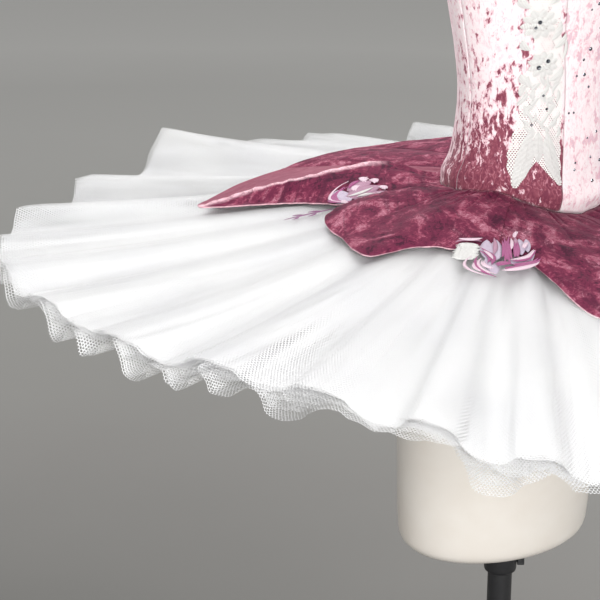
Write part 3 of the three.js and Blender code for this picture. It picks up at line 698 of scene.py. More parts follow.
def mottledMaterial(name, isCentre):
    material, tree, shader = newMaterial(name, Roughness=0.7, Sheen_Weight=0.85, Sheen_Roughness=0.35,
                                         Sheen_Tint=hexColour("#FFE6EC"), Specular_IOR_Level=0.2)
    where = addNode(tree, "ShaderNodeTexCoord").outputs["Object"]
    stretched = addNode(tree, "ShaderNodeVectorMath", {0: where, 1: (1, 1, 0.5)},
                        operation="MULTIPLY").outputs[0]
    blotches = addNode(tree, "ShaderNodeTexNoise", {
        "Vector": stretched, "Scale": 150.0, "Detail": 6.0, "Roughness": 0.66,
        "Distortion": 0.3}).outputs["Fac"]
    flecks = addNode(tree, "ShaderNodeTexNoise", {
        "Vector": stretched, "Scale": 230.0, "Detail": 3.0, "Roughness": 0.6,
        "Distortion": 1.5}).outputs["Fac"]
    height = addNode(tree, "ShaderNodeSeparateXYZ", {0: where}).outputs["Z"]
    low, high = blotchLimit["height"][0], blotchLimit["height"][-1]
    upwards = addNode(tree, "ShaderNodeMapRange", {
        "Value": height, "From Min": low * metre, "From Max": high * metre}).outputs[0]
    limits = [blotchLimit["centre"] if isCentre else value for value in blotchLimit["limit"]]
    limit = rampOf(tree, upwards, [((h - low) / (high - low), value)
                                   for h, value in zip(blotchLimit["height"], limits)])
    depth = addNode(tree, "ShaderNodeSeparateXYZ", {0: where}).outputs["Y"]
    thinner = addNode(tree, "ShaderNodeMapRange", {
        "Value": depth, "From Min": blotchSide["from"] * metre, "From Max": blotchSide["to"] * metre,
        "To Max": blotchSide["more"]}).outputs[0]
    drift = addNode(tree, "ShaderNodeTexNoise", {
        "Vector": where, "Scale": 1000 / blotchSide["wander"], "Detail": 1.0}).outputs["Fac"]
    wander = addNode(tree, "ShaderNodeMath", {
        0: drift, 1: blotchSide["wanderBy"] * 2, 2: -blotchSide["wanderBy"]},
        operation="MULTIPLY_ADD").outputs[0]
    limit = addNode(tree, "ShaderNodeMath", {0: limit, 1: thinner}, operation="ADD").outputs[0]
    limit = addNode(tree, "ShaderNodeMath", {0: limit, 1: wander}, operation="ADD").outputs[0]
    above = addNode(tree, "ShaderNodeMath", {0: blotches, 1: limit}, operation="SUBTRACT").outputs[0]
    isBlotch = addNode(tree, "ShaderNodeMapRange", {
        "Value": above, "From Min": -0.01, "From Max": 0.016}).outputs[0]
    isHalo = addNode(tree, "ShaderNodeMapRange", {
        "Value": above, "From Min": -0.08, "From Max": 0.01}).outputs[0]
    plain = rampOf(tree, flecks, [(0.36, bodiceTones["rose"]), (0.5, bodiceTones["pale"])])
    if isCentre:
        wine = hexColour(bodiceTones["centreBlotch"])
    else:
        wine = rampOf(tree, flecks, [
            (0.4, bodiceTones["deep"]), (0.56, bodiceTones["blotch"]), (0.68, bodiceTones["fleck"])])
    pink = addNode(tree, "ShaderNodeMix", {0: isHalo, 6: plain, 7: hexColour(bodiceTones["halo"])},
                   data_type="RGBA").outputs[2]
    colour = addNode(tree, "ShaderNodeMix", {0: isBlotch, 6: pink, 7: wine}, data_type="RGBA").outputs[2]
    tree.links.new(colour, shader.inputs["Base Color"])
    relief = addNode(tree, "ShaderNodeBump", {
        "Strength": 0.35, "Distance": 0.001, "Height": flecks}).outputs["Normal"]
    tree.links.new(relief, shader.inputs["Normal"])
    return material


# Short pile: it keeps the light on its edges, so the sides of the bodice are paler than its middle.
mottledVelvet = mottledMaterial("mottledPinkVelvet", False)
panelVelvet = mottledMaterial("paleCentreVelvet", True)


def hemFlare(angle, height):
    return bodice["flare"] * np.exp(-(((height - hemHeight(angle) - 14) / 12) ** 2))


def bodicePanel(name, fromSeam, toSeam, side, columns):
    def place(u, v):
        seamHeight = mix(bodice["lowEnd"], bodice["highEnd"], v)
        left, right = fromSeam(seamHeight) + bodice["seamGap"], toSeam(seamHeight) - bodice["seamGap"]
        angle = mix(left, right, u)
        height = mix(hemHeight(angle) - bodice["hemLap"], neckHeight(np.abs(angle)), v)
        arc = np.minimum(u, 1 - u) * (right - left) * perDegree
        turnIn = bodice["seamTurn"] * np.exp(-arc / 1.4)
        fromHem = height - hemHeight(angle) + bodice["hemLap"]
        rolled = bodice["rolled"] * np.exp(-fromHem / 1.6)
        out = bodice["ease"] + bodice["thickness"] + hemFlare(angle, height) - turnIn - rolled
        out = out + 0.22 * ripples(angle * perDegree, height * 0.5, 12, 7)
        wrinkles = 1.1 * ripples(angle * perDegree, height * 0.15, 14, 8) * np.exp(-fromHem / 22)
        out = out + wrinkles * np.clip(arc / 12, 0, 1)
        return bodyPoint(side * angle, height, out), (angle * perDegree, height)

    piece = clothGrid(name, columns, bodice["rows"], place)
    if side > 0:
        flipFaces(piece)
    return piece


def sideSeam(height):
    return 88 + 0 * height


def backSeam(height):
    return 147 + (height - hipHeight) * 0.012


panelSeams = {
    "Centre front": (lambda h: -princessAngle(h), princessAngle, "bodice_centre_front", 26),
    "Side front": (princessAngle, sideSeam, "bodice_side_front", 46),
    "Side back": (sideSeam, backSeam, "bodice_side_back", 36),
    "Back": (backSeam, lambda h: 180 + 0 * h, "bodice_back", 24),
}
for title, (fromSeam, toSeam, node, columns) in panelSeams.items():
    for side in (1, -1):
        isCentre = title == "Centre front"
        if isCentre and side < 0:
            continue
        hand = "" if isCentre else ("Right" if side > 0 else "Left")
        panel = bodicePanel(title.replace(" ", "") + hand + "Panel", fromSeam, toSeam, side, columns)
        flatArea = areaOf(panel)
        applyModifier(panel, "SOLIDIFY", thickness=(bodice["thickness"] - 0.3) * metre, offset=-1)
        giveMaterial(panel, panelVelvet if isCentre else mottledVelvet)
        settle(panel, "form",
               [node if isCentre else f"{node}_{hand.lower()}"])
        length = 0.31
print("bodice: done")


# Lace, stones and flowers

# Rayon embroidery thread in close satin stitches: fine ribs across each leaf, with a soft shine.
# Each thread has a deep tone between its stitches, which is painted shade, and a pale one on them. They are
# drawn coarser to show.
threadTones = {
    "silver": ("#C6C5C1", "#FDFDFA"), "rose": ("#84275F", "#C4659F"), "lavender": ("#B9A6BF", "#DED1E2"),
    "mauve": ("#A36E8B", "#C99DB4"), "pearl": ("#DDB2C8", "#FAE9F1"), "plum": ("#7A4569", "#A5709B"),
}
threads = {}
for key, (deep, pale) in threadTones.items():
    material, tree, shader = newMaterial(f"{key}SatinStitch", Roughness=0.42, Sheen_Weight=0.15)
    where = addNode(tree, "ShaderNodeTexCoord").outputs["UV"]
    stitch = addNode(tree, "ShaderNodeTexWave", {
        "Vector": where, "Scale": 240.0, "Distortion": 1.2, "Detail": 1.0},
        bands_direction="Y").outputs["Fac"]
    cloud = addNode(tree, "ShaderNodeTexNoise", {
        "Vector": where, "Scale": 260.0, "Detail": 3.0}).outputs["Fac"]
    # the deep tone is painted shade between the stitch ribs, spread further by a random cloud
    shadeBetweenStitches = addNode(tree, "ShaderNodeMath", {0: stitch, 1: cloud}, operation="MULTIPLY").outputs[0]
    tree.links.new(rampOf(tree, shadeBetweenStitches, [(0.06, deep), (0.36, pale)]), shader.inputs["Base Color"])
    relief = addNode(tree, "ShaderNodeBump", {
        "Strength": 0.6, "Distance": 0.0006, "Height": stitch}).outputs["Normal"]
    tree.links.new(relief, shader.inputs["Normal"])
    threads[key] = material
laceGround = netMaterial("offWhiteLaceNet", laceNet)

lace = {
    "height": [990, 1018, 1045, 1075, 1105, 1135, 1165, 1195, 1225, 1252],
    "inner": [30, 31, 31, 30, 31, 34, 41, 47, 60, 70],
    "outer": [77, 81, 76, 71, 71, 62, 68, 76, 86, 94],
    "tip": 990, "notch": 1018, "out": 1.0,
}
laceInner, laceOuter = smoothLine(lace["height"], lace["inner"]), smoothLine(lace["height"], lace["outer"])


def overBodice(side, x, height, out):
    # a point of the bodice this far from the centre line
    angle = np.degrees(np.arcsin(np.clip(x / bodyHalf(height), -1, 1)))
    away = bodice["ease"] + bodice["thickness"] + hemFlare(angle, height) + out
    return bodyPoint(side * angle, height, away)


def laceBase(side):
    def place(u, v):
        start = mix(lace["notch"], lace["tip"], np.minimum(np.abs(u - 0.5) * 2.4, 1))
        height = mix(start, lace["height"][-1], v)
        scallop = 1.6 * np.abs(np.sin(height / 5.5)) - 0.8
        inner, outer = laceInner(height) - scallop, laceOuter(height) + scallop
        x = mix(inner, outer, u)
        return overBodice(side, x, height, lace["out"]), (x, height)

    piece = clothGrid(f"lace{'Right' if side > 0 else 'Left'}", 30, 150, place)
    if side > 0:
        flipFaces(piece)
    return piece


def stroke(name, wrap, start, end, bow, width, raised=1.0, columns=4, rows=12):
    # one satin-stitched leaf, its middle pushed aside by bow; wrap lays its flat points on the cloth
    along = np.array(end, float) - np.array(start, float)
    length = math.hypot(*along)

    def place(u, v):
        half = width / 2 * np.sin(np.pi * np.clip(v, 0.004, 0.996)) ** 0.7 * (2 * u - 1)
        aside = 4 * v * (1 - v) * bow + half
        flatX = start[0] + along[0] * v - along[1] / length * aside
        flatY = start[1] + along[1] * v + along[0] / length * aside
        lift = raised * (1 - (2 * u - 1) ** 2) * np.sin(np.pi * np.clip(v, 0.02, 0.98)) ** 0.5
        return wrap(flatX, flatY, lift), (u * width, v * length)
    return clothGrid(name, columns, rows, place)


laceMotifs = {
    "rosettes": [(53, 1124, 15), (62, 1169, 17), (73, 1214, 15)],
    # leaves as start x, height, end x, height, bow, width
    "leaves": [(62, 1050, 77, 991, -3, 15), (45, 1050, 31, 991, 3, 14), (54, 1050, 54, 1017, 0, 11),
               (44, 1142, 34, 1158, 3, 7), (66, 1140, 74, 1152, -3, 7), (48, 1150, 42, 1172, 3, 7),
               (72, 1186, 82, 1200, -3, 8), (56, 1190, 50, 1206, 3, 8), (46, 1106, 33, 1122, 4, 8),
               (62, 1104, 72, 1114, -3, 8), (66, 1232, 62, 1252, 3, 9), (80, 1232, 90, 1250, -3, 9),
               (34, 1128, 33, 1152, 2, 4), (72, 1232, 76, 1252, 0, 8)],
    # rings of petals: how many, where they start and end in the rosette's radius, their width and height
    "rings": [(10, 0.42, 1.0, 0.44, 0.9), (7, 0.12, 0.55, 0.36, 1.4)],
}


def makeLace(side):
    def wrap(x, height, lift):
        return overBodice(side, x, height, lace["out"] + 0.15 + lift)

    motifs, veins = [], []
    for row in laceMotifs["leaves"]:
        motifs.append(stroke("laceLeaf", wrap, row[:2], row[2:4], row[4], row[5], 0.8, 6, 16))
        veins.append(stroke("laceVein", wrap, row[:2], row[2:4], row[4], row[5] * 0.16, 1.3))
    draw = np.random.default_rng(12)
    for level in range(8):  # small leaves from the lowest rosette down to the points
        height = 1106 - 8 * level
        for place in (0.12, 0.38, 0.64, 0.9):
            x = mix(laceInner(height), laceOuter(height), place) + draw.uniform(-3, 3)
            lean = draw.uniform(-9, 9)
            end = (x + lean, height - draw.uniform(2, 10))
            motifs.append(stroke("laceLeaf", wrap, (x, height + 6), end, draw.uniform(-4, 4),
                                 draw.uniform(3, 6.5), draw.uniform(0.5, 1.1)))
    for number, (x, height, radius) in enumerate(laceMotifs["rosettes"]):
        for petals, inner, outer, width, raised in laceMotifs["rings"]:
            for k in range(petals):
                turn = 2 * math.pi * (k + 0.3 * number) / petals
                start = (x + radius * inner * math.cos(turn), height + radius * inner * math.sin(turn))
                turn = turn + 0.25
                end = (x + radius * outer * math.cos(turn), height + radius * outer * math.sin(turn))
                motifs.append(stroke("rosettePetal", wrap, start, end, 0.8, radius * width, raised))
    return motifs + veins


for side in (1, -1):
    base = laceBase(side)
    giveMaterial(base, laceGround)
    flatArea = areaOf(base)
    motifs = makeLace(side)
    for motif in motifs:
        giveMaterial(motif, threads["silver"])
        if side < 0:
            flipFaces(motif)
    whole = joinAll([base] + motifs, f"laceTrim{'Right' if side > 0 else 'Left'}")
    settle(whole, "form", [f"lace_trim_{'right' if side > 0 else 'left'}"])
print("lace: done")

# Foil-backed glass stones: a flat table and eight sloping sides, with darker and paler spots of painted
# reflection in their colour.
stoneGlass, stoneTree, stoneShader = newMaterial("foiledRhinestone", Metallic=0.85, Roughness=0.14)
stonePlace = addNode(stoneTree, "ShaderNodeTexCoord").outputs["Object"]
stoneReflections = addNode(stoneTree, "ShaderNodeTexNoise", {"Vector": stonePlace, "Scale": 420.0}).outputs["Fac"]
stoneTree.links.new(rampOf(stoneTree, stoneReflections, [(0.4, "#3E4149"), (0.56, "#7E828C"), (0.66, "#E2E4EA")]),
                    stoneShader.inputs["Base Color"])
stoneCut = {"sides": 8, "height": 0.45, "table": 0.55}


def cutStone():
    # one stone of radius 1 mm, lying on its back
    deselectAll()
    bpy.ops.mesh.primitive_cylinder_add(vertices=stoneCut["sides"], radius=metre,
                                        depth=stoneCut["height"] * metre)
    stone = bpy.context.object
    for face in stone.data.polygons:
        face.select = face.normal.z > 0.9
    for edge in stone.data.edges:
        edge.select = False
    for vertex in stone.data.vertices:
        vertex.select = vertex.co.z > 0
    bpy.ops.object.mode_set(mode="EDIT")
    bpy.ops.mesh.select_mode(type="VERT")
    bpy.ops.transform.resize(value=(stoneCut["table"], stoneCut["table"], 1))
    bpy.ops.object.mode_set(mode="OBJECT")
    return stone


def makeStones(name, places):
    # places are a point on the cloth, its outward direction and the stone's radius, in millimetres
    first = cutStone()
    stones = []
    for point, outward, radius in places:
        stone = first.copy()
        stone.data = first.data.copy()
        scene.collection.objects.link(stone)
        stone.rotation_mode = "QUATERNION"
        stone.rotation_quaternion = Vector(outward).to_track_quat("Z", "Y")
        stone.location = Vector(point) * metre
        stone.scale = (radius, radius, radius)
        selectOnly(stone)
        bpy.ops.object.transform_apply(location=True, rotation=True, scale=True)
        stones.append(stone)
    bpy.data.objects.remove(first)
    whole = joinAll(stones, name)
    giveMaterial(whole, stoneGlass)
    return whole


def bodiceSpot(side, x, height, out, radius):
    here, right, up = (np.array(overBodice(side, np.array(x + dx), np.array(float(height + dh)), out))
                       for dx, dh in ((0, 0), (1, 0), (0, 1)))
    outward = np.cross(right - here, up - here) * -side
    return here, outward / np.linalg.norm(outward), radius


# Stones on the centre panel, as x to the wearer's right, height and radius; the small ones lie scattered.
panelStones = [(0, 1137, 2.8), (4.5, 1109, 2.3), (-23.4, 1010, 2), (-11.7, 989, 2.4), (-17.1, 1043, 2),
               (-1, 1187, 2.4), (12, 1012, 1.6), (15, 1068, 1.5)]
stoneDraw = np.random.default_rng(5)
for row in range(12):
    across, upwards = stoneDraw.uniform(-21, 21), stoneDraw.uniform(-7, 7)
    panelStones.append((across, 1000 + row * 22 + upwards, stoneDraw.uniform(1.3, 1.9)))
laceStones = [(49, 1128, 2.4), (57, 1121, 2.6), (62, 1171, 2.4), (65, 1165, 1.8), (72, 1215, 2.2),
              (46, 1075, 1.5), (60, 1058, 1.5), (50, 1090, 1.5)]
stoneSeat = {"panel": 0.3, "lace": 2.2, "rosette": 2.9, "rosettesAbove": 1110}
stonePlaces = [bodiceSpot(1 if x > 0 else -1, abs(x), height, stoneSeat["panel"], size)
               for x, height, size in panelStones]
for side in (1, -1):
    for x, height, size in laceStones:
        seat = stoneSeat["rosette"] if height > stoneSeat["rosettesAbove"] else stoneSeat["lace"]
        stonePlaces.append(bodiceSpot(side, x, height, seat, size))
stones = makeStones("bodiceStones", stonePlaces)
settle(stones, "form")
print("stones:", len(stonePlaces))

# Embroidered appliques, sewn down over the edge of the plate.

def petalAt(angle):
    for name, rows in petalRows.items():
        if rows["angle"][0] <= angle <= rows["angle"][-1] + 0.4:
            return name
    return "petal_back"


def overPlate(side, centreAngle, centreReach, x, y, lift):
    reach = centreReach + y
    angle = centreAngle + np.degrees(x / centreReach)
    height = np.zeros(np.shape(angle))
    flatAngle, flatReach, flatHeight = np.broadcast_arrays(angle, reach, height)
    flatHeight = np.array(flatHeight)
    for index in np.ndindex(flatAngle.shape):
        name = petalAt(float(flatAngle[index]))
        flatHeight[index] = float(plateLift(name, np.array(flatAngle[index]), np.array(flatReach[index])))
    return skirtPoint(side * flatAngle, flatReach, np.maximum(flatHeight, 1.0) + lift)


# Each flower: where it lies, and from the bottom up its stitched leaves, each as its thread,
# start x, y, end x, y, bow and width. The front one is a full rose with a silvery leaf at its side;
# the hip one is a bud on sheer mauve.
flowers = {
    "flower_front": {"angle": 45, "reach": 258, "leaves": [
        ("lavender", 14, -20, 6, 18, 0, 17), ("lavender", 3, -24, -3, 16, 0, 16),
        ("lavender", 8, 17, -5, 46, 2, 14), ("lavender", -25, -30, -29, -2, 0, 12),
        ("lavender", -34, -30, -36, -6, 0, 9), ("lavender", -13, 18, -43, -2, -2, 14),
        ("silver", 47, 6, 15, -4, 1, 12), ("silver", 46, 13, 14, 3, -1, 12),
        ("silver", 45, 20, 14, 9, 1, 12), ("silver", 44, 26, 13, 15, -1, 12),
        ("silver", 42, 32, 15, 22, 1, 10), ("silver", 41, -1, 37, 30, 1, 5),
        ("mauve", 46, 0, 19, -12, 4, 5), ("mauve", 6, -24, 1, 10, 2, 6), ("mauve", -20, -30, -24, 4, 0, 8),
        ("rose", 18, 0, -1, 34, 6, 9), ("rose", 17, 19, -7, 55, -9, 9), ("rose", -6, -30, -12, 24, 2, 9),
        ("rose", -12, -32, -18, 26, -2, 9), ("rose", -21, -26, -23, 14, 1, 7),
        ("rose", -12, 22, -49, -10, -3, 7),
        ("rose", -14, 30, -53, 6, -2, 7), ("rose", -8, 38, -38, 20, -2, 6), ("rose", -2, 34, -20, 22, 2, 6),
        ("pearl", -18, -24, -23, -42, 1, 5), ("pearl", -15, -26, -17, -4, 1, 3),
        ("pearl", -30, -6, -36, -20, 1, 5), ("pearl", -10, 42, -49, 14, -2, 4),
        ("pearl", 13, 8, -1, 24, 2, 3), ("pearl", 11, 27, -5, 44, -4, 5), ("pearl", 45, -3, 18, -15, -2, 3),
        ("pearl", -18, 18, -44, -4, -2, 3), ("pearl", 22, 24, 0, 60, -13, 2.5)]},
    "flower_hip": {"angle": 108.5, "reach": 199, "leaves": [
        ("mauve", -12, 16, 2, -28, 0, 24), ("mauve", 6, 18, 18, -26, 0, 22),
        ("mauve", 20, 10, 30, -20, 0, 16),
        ("lavender", 4, 31, 4, 10, 0, 20), ("lavender", 16, 29, 16, 10, 0, 18),
        ("rose", -16, 12, 34, 8, 20, 8), ("rose", -10, 14, 28, 11, 13, 4),
        ("pearl", -14, 8, 36, 4, 25, 2.5),
        ("pearl", -14, 20, 8, 18, 3, 6), ("pearl", 14, 4, 26, -6, 3, 6), ("pearl", 28, -10, 38, -18, 3, 9),
        ("pearl", 34, -18, 22, -24, 3, 8), ("pearl", 16, -23, 2, -29, 2, 7),
        ("pearl", -16, 18, -10, -22, -2, 4),
        ("silver", 2, 6, 0, -14, 2, 3), ("silver", 8, 14, 14, -18, -2, 3), ("rose", 22, 8, 32, -8, 2, 3)]},
}
# Later rows lie on earlier ones, each a little higher. A share of the rose rows is worked in pearl.
stitchRow = {"width": 3.2, "overlap": 1.5, "pearls": 0.12, "slip": 0.07, "shorter": 0.25, "spread": 0.8,
             "lowest": 3, "liftEach": 0.06, "raised": 0.7, "thickness": 0.6}


def stitchRows(thread, row, draw):
    # a leaf is worked as narrow rows side by side, shorter towards its edges; sheer grounds stay whole
    if thread in ("lavender", "mauve"):
        return [(thread, *row)]
    startX, startY, endX, endY, bow, width = row
    count = max(1, round(width / stitchRow["width"]))
    alongX, alongY = endX - startX, endY - startY
    length = math.hypot(alongX, alongY)
    rows = []
    for k in range(count):
        aside = ((k + 0.5) / count - 0.5) * width * stitchRow["spread"]
        shorter = stitchRow["shorter"] * abs(2 * aside / width)
        cutStart = shorter + draw.uniform(0, stitchRow["slip"])
        cutEnd = shorter + draw.uniform(0, stitchRow["slip"])
        x, y = startX - alongY / length * aside, startY + alongX / length * aside
        isPearl = thread == "rose" and draw.uniform() < stitchRow["pearls"]
        start = (x + alongX * cutStart, y + alongY * cutStart)
        end = (x + alongX * (1 - cutEnd), y + alongY * (1 - cutEnd))
        rowWidth = width / count * stitchRow["overlap"]
        rows.append(("pearl" if isPearl else thread, *start, *end, bow, rowWidth))
    return rows


for name, flower in flowers.items():
    for side in (1, -1):
        pieces = []
        draw = np.random.default_rng(21)
        narrow = [part for thread, *row in flower["leaves"] for part in stitchRows(thread, row, draw)]
        for level, (thread, *row) in enumerate(narrow):
            lowest = stitchRow["lowest"] + stitchRow["liftEach"] * level

            def wrap(flatX, flatY, lift):
                return overPlate(side, flower["angle"], flower["reach"], flatX, flatY, lowest + lift)

            leaf = stroke("stitchedLeaf", wrap, row[:2], row[2:4], row[4], row[5], stitchRow["raised"])
            if side > 0:
                flipFaces(leaf)
            giveMaterial(leaf, threads[thread])
            pieces.append(leaf)
        whole = joinAll(pieces, f"{name}{'Right' if side > 0 else 'Left'}Embroidery")
        flatArea = areaOf(whole)
        applyModifier(whole, "SOLIDIFY", thickness=stitchRow["thickness"] * metre, offset=-1)
        settle(whole, "form", [f"{name}_{'right' if side > 0 else 'left'}"])
        box = np.array([v.co[:] for v in whole.data.vertices])
print("flowers: done")

# The sprig: a stem and small leaves, worked in plum thread on the net.
sprig = {
    "angle": 105, "from": 236, "lift": 1.2, "thickness": 0.5,
    "strokes": [(0, -2, 0, 56, -1.5, 3), (0, 12, 8, 26, -2, 3.4), (0, 20, -8, 33, 2, 3.4),
                (0, 32, 7, 44, -2, 3), (0, 40, -7, 50, 2, 3)],
}
for side in (1, -1):
    def wrap(flatX, flatY, lift):
        return overPlate(side, sprig["angle"], sprig["from"], flatX, flatY, sprig["lift"] + 0.5 * lift)

    pieces = [stroke("sprigStitch", wrap, row[:2], row[2:4], row[4], row[5], 1.0, 4, 16)
              for row in sprig["strokes"]]
    if side > 0:
        for piece in pieces:
            flipFaces(piece)
    whole = joinAll(pieces, f"leafSprig{'Right' if side > 0 else 'Left'}")
    flatArea = areaOf(whole)
    applyModifier(whole, "SOLIDIFY", thickness=sprig["thickness"] * metre, offset=-1)
    giveMaterial(whole, threads["plum"])
    settle(whole, "form", [f"leaf_sprig_{'right' if side > 0 else 'left'}"])
print("sprigs: done")


# Yoke, form and stand

# White cotton twill with close diagonal ribs.
twill, twillTree, twillShader = newMaterial("whiteCottonTwill", Roughness=0.85)
twillPlace = addNode(twillTree, "ShaderNodeTexCoord").outputs["UV"]
twillRib = addNode(twillTree, "ShaderNodeTexWave", {"Vector": twillPlace, "Scale": 250.0},
                   bands_direction="DIAGONAL")
twillTree.links.new(rampOf(twillTree, twillRib.outputs["Fac"], [(0.2, "#E2DDD9"), (0.7, "#F4F1EE")]),
                    twillShader.inputs["Base Color"])

yokeCut = {"top": 4, "bottom": 84, "out": 2.2, "thickness": 1.2}


def yokePlace(u, v):
    angle = 360 * u
    height = mix(hemHeight(angle) - yokeCut["top"], hipHeight - yokeCut["bottom"], v)
    return bodyPoint(angle, height, yokeCut["out"]), (angle * perDegree, height)


yoke = clothGrid("hipYoke", 120, 14, yokePlace, True)
applyModifier(yoke, "SOLIDIFY", thickness=yokeCut["thickness"] * metre, offset=-1)
giveMaterial(yoke, twill)
settle(yoke, "form", ["hip_yoke"])

# Cream moulded shell: satin, a little uneven, as painted glass fibre is.
shell, shellTree, shellShader = newMaterial("creamMouldedShell", Roughness=0.42)
shellPlace = addNode(shellTree, "ShaderNodeTexCoord").outputs["Object"]
shellCloud = addNode(shellTree, "ShaderNodeTexNoise", {
    "Vector": shellPlace, "Scale": 14.0, "Detail": 4.0}).outputs["Fac"]
shellTree.links.new(rampOf(shellTree, shellCloud, [(0.3, "#EFE7DD"), (0.7, "#F6F0E8")]),
                    shellShader.inputs["Base Color"])
shellGrain = addNode(shellTree, "ShaderNodeTexNoise", {
    "Vector": shellPlace, "Scale": 900.0, "Detail": 2.0}).outputs["Fac"]
shellRelief = addNode(shellTree, "ShaderNodeBump", {
    "Strength": 0.12, "Distance": 0.0003, "Height": shellGrain}).outputs["Normal"]
shellTree.links.new(shellRelief, shellShader.inputs["Normal"])


def formPlace(u, v):
    angle = 360 * u
    height = mix(form["height"][0], form["height"][-1], mix(v, (1 - np.cos(np.pi * v)) / 2, 0.35))
    x, y, z = bodyPoint(angle, height)
    return (x, y, z), (angle * 2, height)


formShell = clothGrid("formShell", 96, 150, formPlace, True)
selectOnly(formShell)
bpy.ops.object.mode_set(mode="EDIT")
bpy.ops.mesh.select_all(action="DESELECT")
bpy.ops.mesh.select_mode(type="EDGE")
bpy.ops.mesh.select_non_manifold()
bpy.ops.mesh.edge_face_add()
bpy.ops.object.mode_set(mode="OBJECT")
faceOutwards(formShell)
giveMaterial(formShell, shell)
settle(formShell, "form", ["form_torso"])
print("form: done")

# Black powder coat on steel: fine orange peel, a soft broad gloss.
coat, coatTree, coatShader = newMaterial("blackPowderCoat", Roughness=0.42)
coatPlace = addNode(coatTree, "ShaderNodeTexCoord").outputs["Object"]
coatPeel = addNode(coatTree, "ShaderNodeTexNoise", {
    "Vector": coatPlace, "Scale": 1100.0, "Detail": 2.0}).outputs["Fac"]
coatTree.links.new(rampOf(coatTree, coatPeel, [(0.35, "#1C1C1E"), (0.65, "#2C2C2E")]),
                   coatShader.inputs["Base Color"])
coatRelief = addNode(coatTree, "ShaderNodeBump", {
    "Strength": 0.25, "Distance": 0.0002, "Height": coatPeel}).outputs["Normal"]
coatTree.links.new(coatRelief, coatShader.inputs["Normal"])

stand = {"pole": 15, "poleTop": 705, "footRadius": 195, "plate": 6, "boss": 28, "bossTop": 50, "socket": 8,
         "slack": 0.3, "collar": 20, "collarSlack": 0.5, "collarLow": 465, "collarTop": 509.7}
# The clamp screw: a knob with grips and a shank, both lying outwards from the pole.
screw = {"height": 478, "heading": -33.3, "sides": 28, "radius": 7, "long": 8, "out": 25, "gripIn": 0.25,
         "gripDeep": 0.5, "shank": 3, "shankLong": 8, "shankOut": 19.6, "shankSides": 20}
smoothBelow = math.radians(35)


def addCylinder(name, radius, low, high, segments, bevel):
    deselectAll()
    bpy.ops.mesh.primitive_cylinder_add(vertices=segments, radius=radius * metre,
                                        depth=(high - low) * metre,
                                        location=(0, 0, (low + high) / 2 * metre))
    piece = bpy.context.object
    piece.name = piece.data.name = name
    bpy.ops.object.transform_apply(location=True, rotation=True, scale=True)
    applyModifier(piece, "BEVEL", width=bevel * metre, segments=3, limit_method="ANGLE")
    bpy.ops.object.shade_smooth_by_angle(angle=smoothBelow)
    return piece


def spinProfile(name, profile, segments):
    # one point is drawn out along a line of radius and height, and the line is spun round the pole
    deselectAll()
    bpy.ops.mesh.primitive_plane_add(size=metre, location=(profile[0][0] * metre, 0, profile[0][1] * metre))
    piece = bpy.context.object
    piece.name = piece.data.name = name
    bpy.ops.object.transform_apply(location=True, rotation=True, scale=True)
    bpy.ops.object.mode_set(mode="EDIT")
    bpy.ops.mesh.select_mode(type="VERT")
    bpy.ops.mesh.select_all(action="SELECT")
    bpy.ops.mesh.merge(type="CENTER")
    for (fromRadius, fromHeight), (toRadius, toHeight) in zip(profile, profile[1:]):
        step = ((toRadius - fromRadius) * metre, 0, (toHeight - fromHeight) * metre)
        bpy.ops.mesh.extrude_vertices_move(TRANSFORM_OT_translate={"value": step})
    bpy.ops.mesh.select_all(action="SELECT")
    bpy.ops.mesh.spin(steps=segments, angle=2 * math.pi, center=(0, 0, 0), axis=(0, 0, 1))
    bpy.ops.mesh.select_all(action="SELECT")
    bpy.ops.mesh.remove_doubles(threshold=0.00002)
    bpy.ops.mesh.normals_make_consistent(inside=False)
    bpy.ops.object.mode_set(mode="OBJECT")
    bpy.ops.object.shade_smooth_by_angle(angle=smoothBelow)
    return piece


poleFoot = stand["socket"] + stand["slack"]
standPole = addCylinder("standPole", stand["pole"], poleFoot, stand["poleTop"], 64, 1.5)
giveMaterial(standPole, coat)
settle(standPole, "stand", ["stand_pole"])

foot, boss, bossTop = stand["footRadius"], stand["boss"], stand["bossTop"]
bore = stand["pole"] + stand["slack"]
footProfile = [(0, 0), (foot - 1, 0), (foot, 1), (foot, 4), (foot - 1, 5.4), (foot - 3, stand["plate"]),
               (110, 7.4), (60, 9), (40, 12), (boss + 3, 16), (boss, 22), (boss, bossTop - 2),
               (boss - 1, bossTop - 0.4), (boss - 2.5, bossTop), (bore, bossTop),
               (bore, stand["socket"]), (0, stand["socket"])]
standFoot = spinProfile("standFoot", footProfile, 96)
giveMaterial(standFoot, coat)
settle(standFoot, "stand", ["stand_foot"])

around, low, high = stand["collar"], stand["collarLow"], stand["collarTop"]
collarBore = stand["pole"] + stand["collarSlack"]
collarProfile = [(collarBore, low), (around - 2, low), (around - 0.6, low + 1.4), (around, low + 4),
                 (around, high - 3.7), (around - 0.8, high - 0.7), (around - 2, high), (collarBore, high),
                 (collarBore, low)]
clampCollar = spinProfile("clampCollar", collarProfile, 64)
giveMaterial(clampCollar, coat)
settle(clampCollar, "collar", ["clamp_collar"])

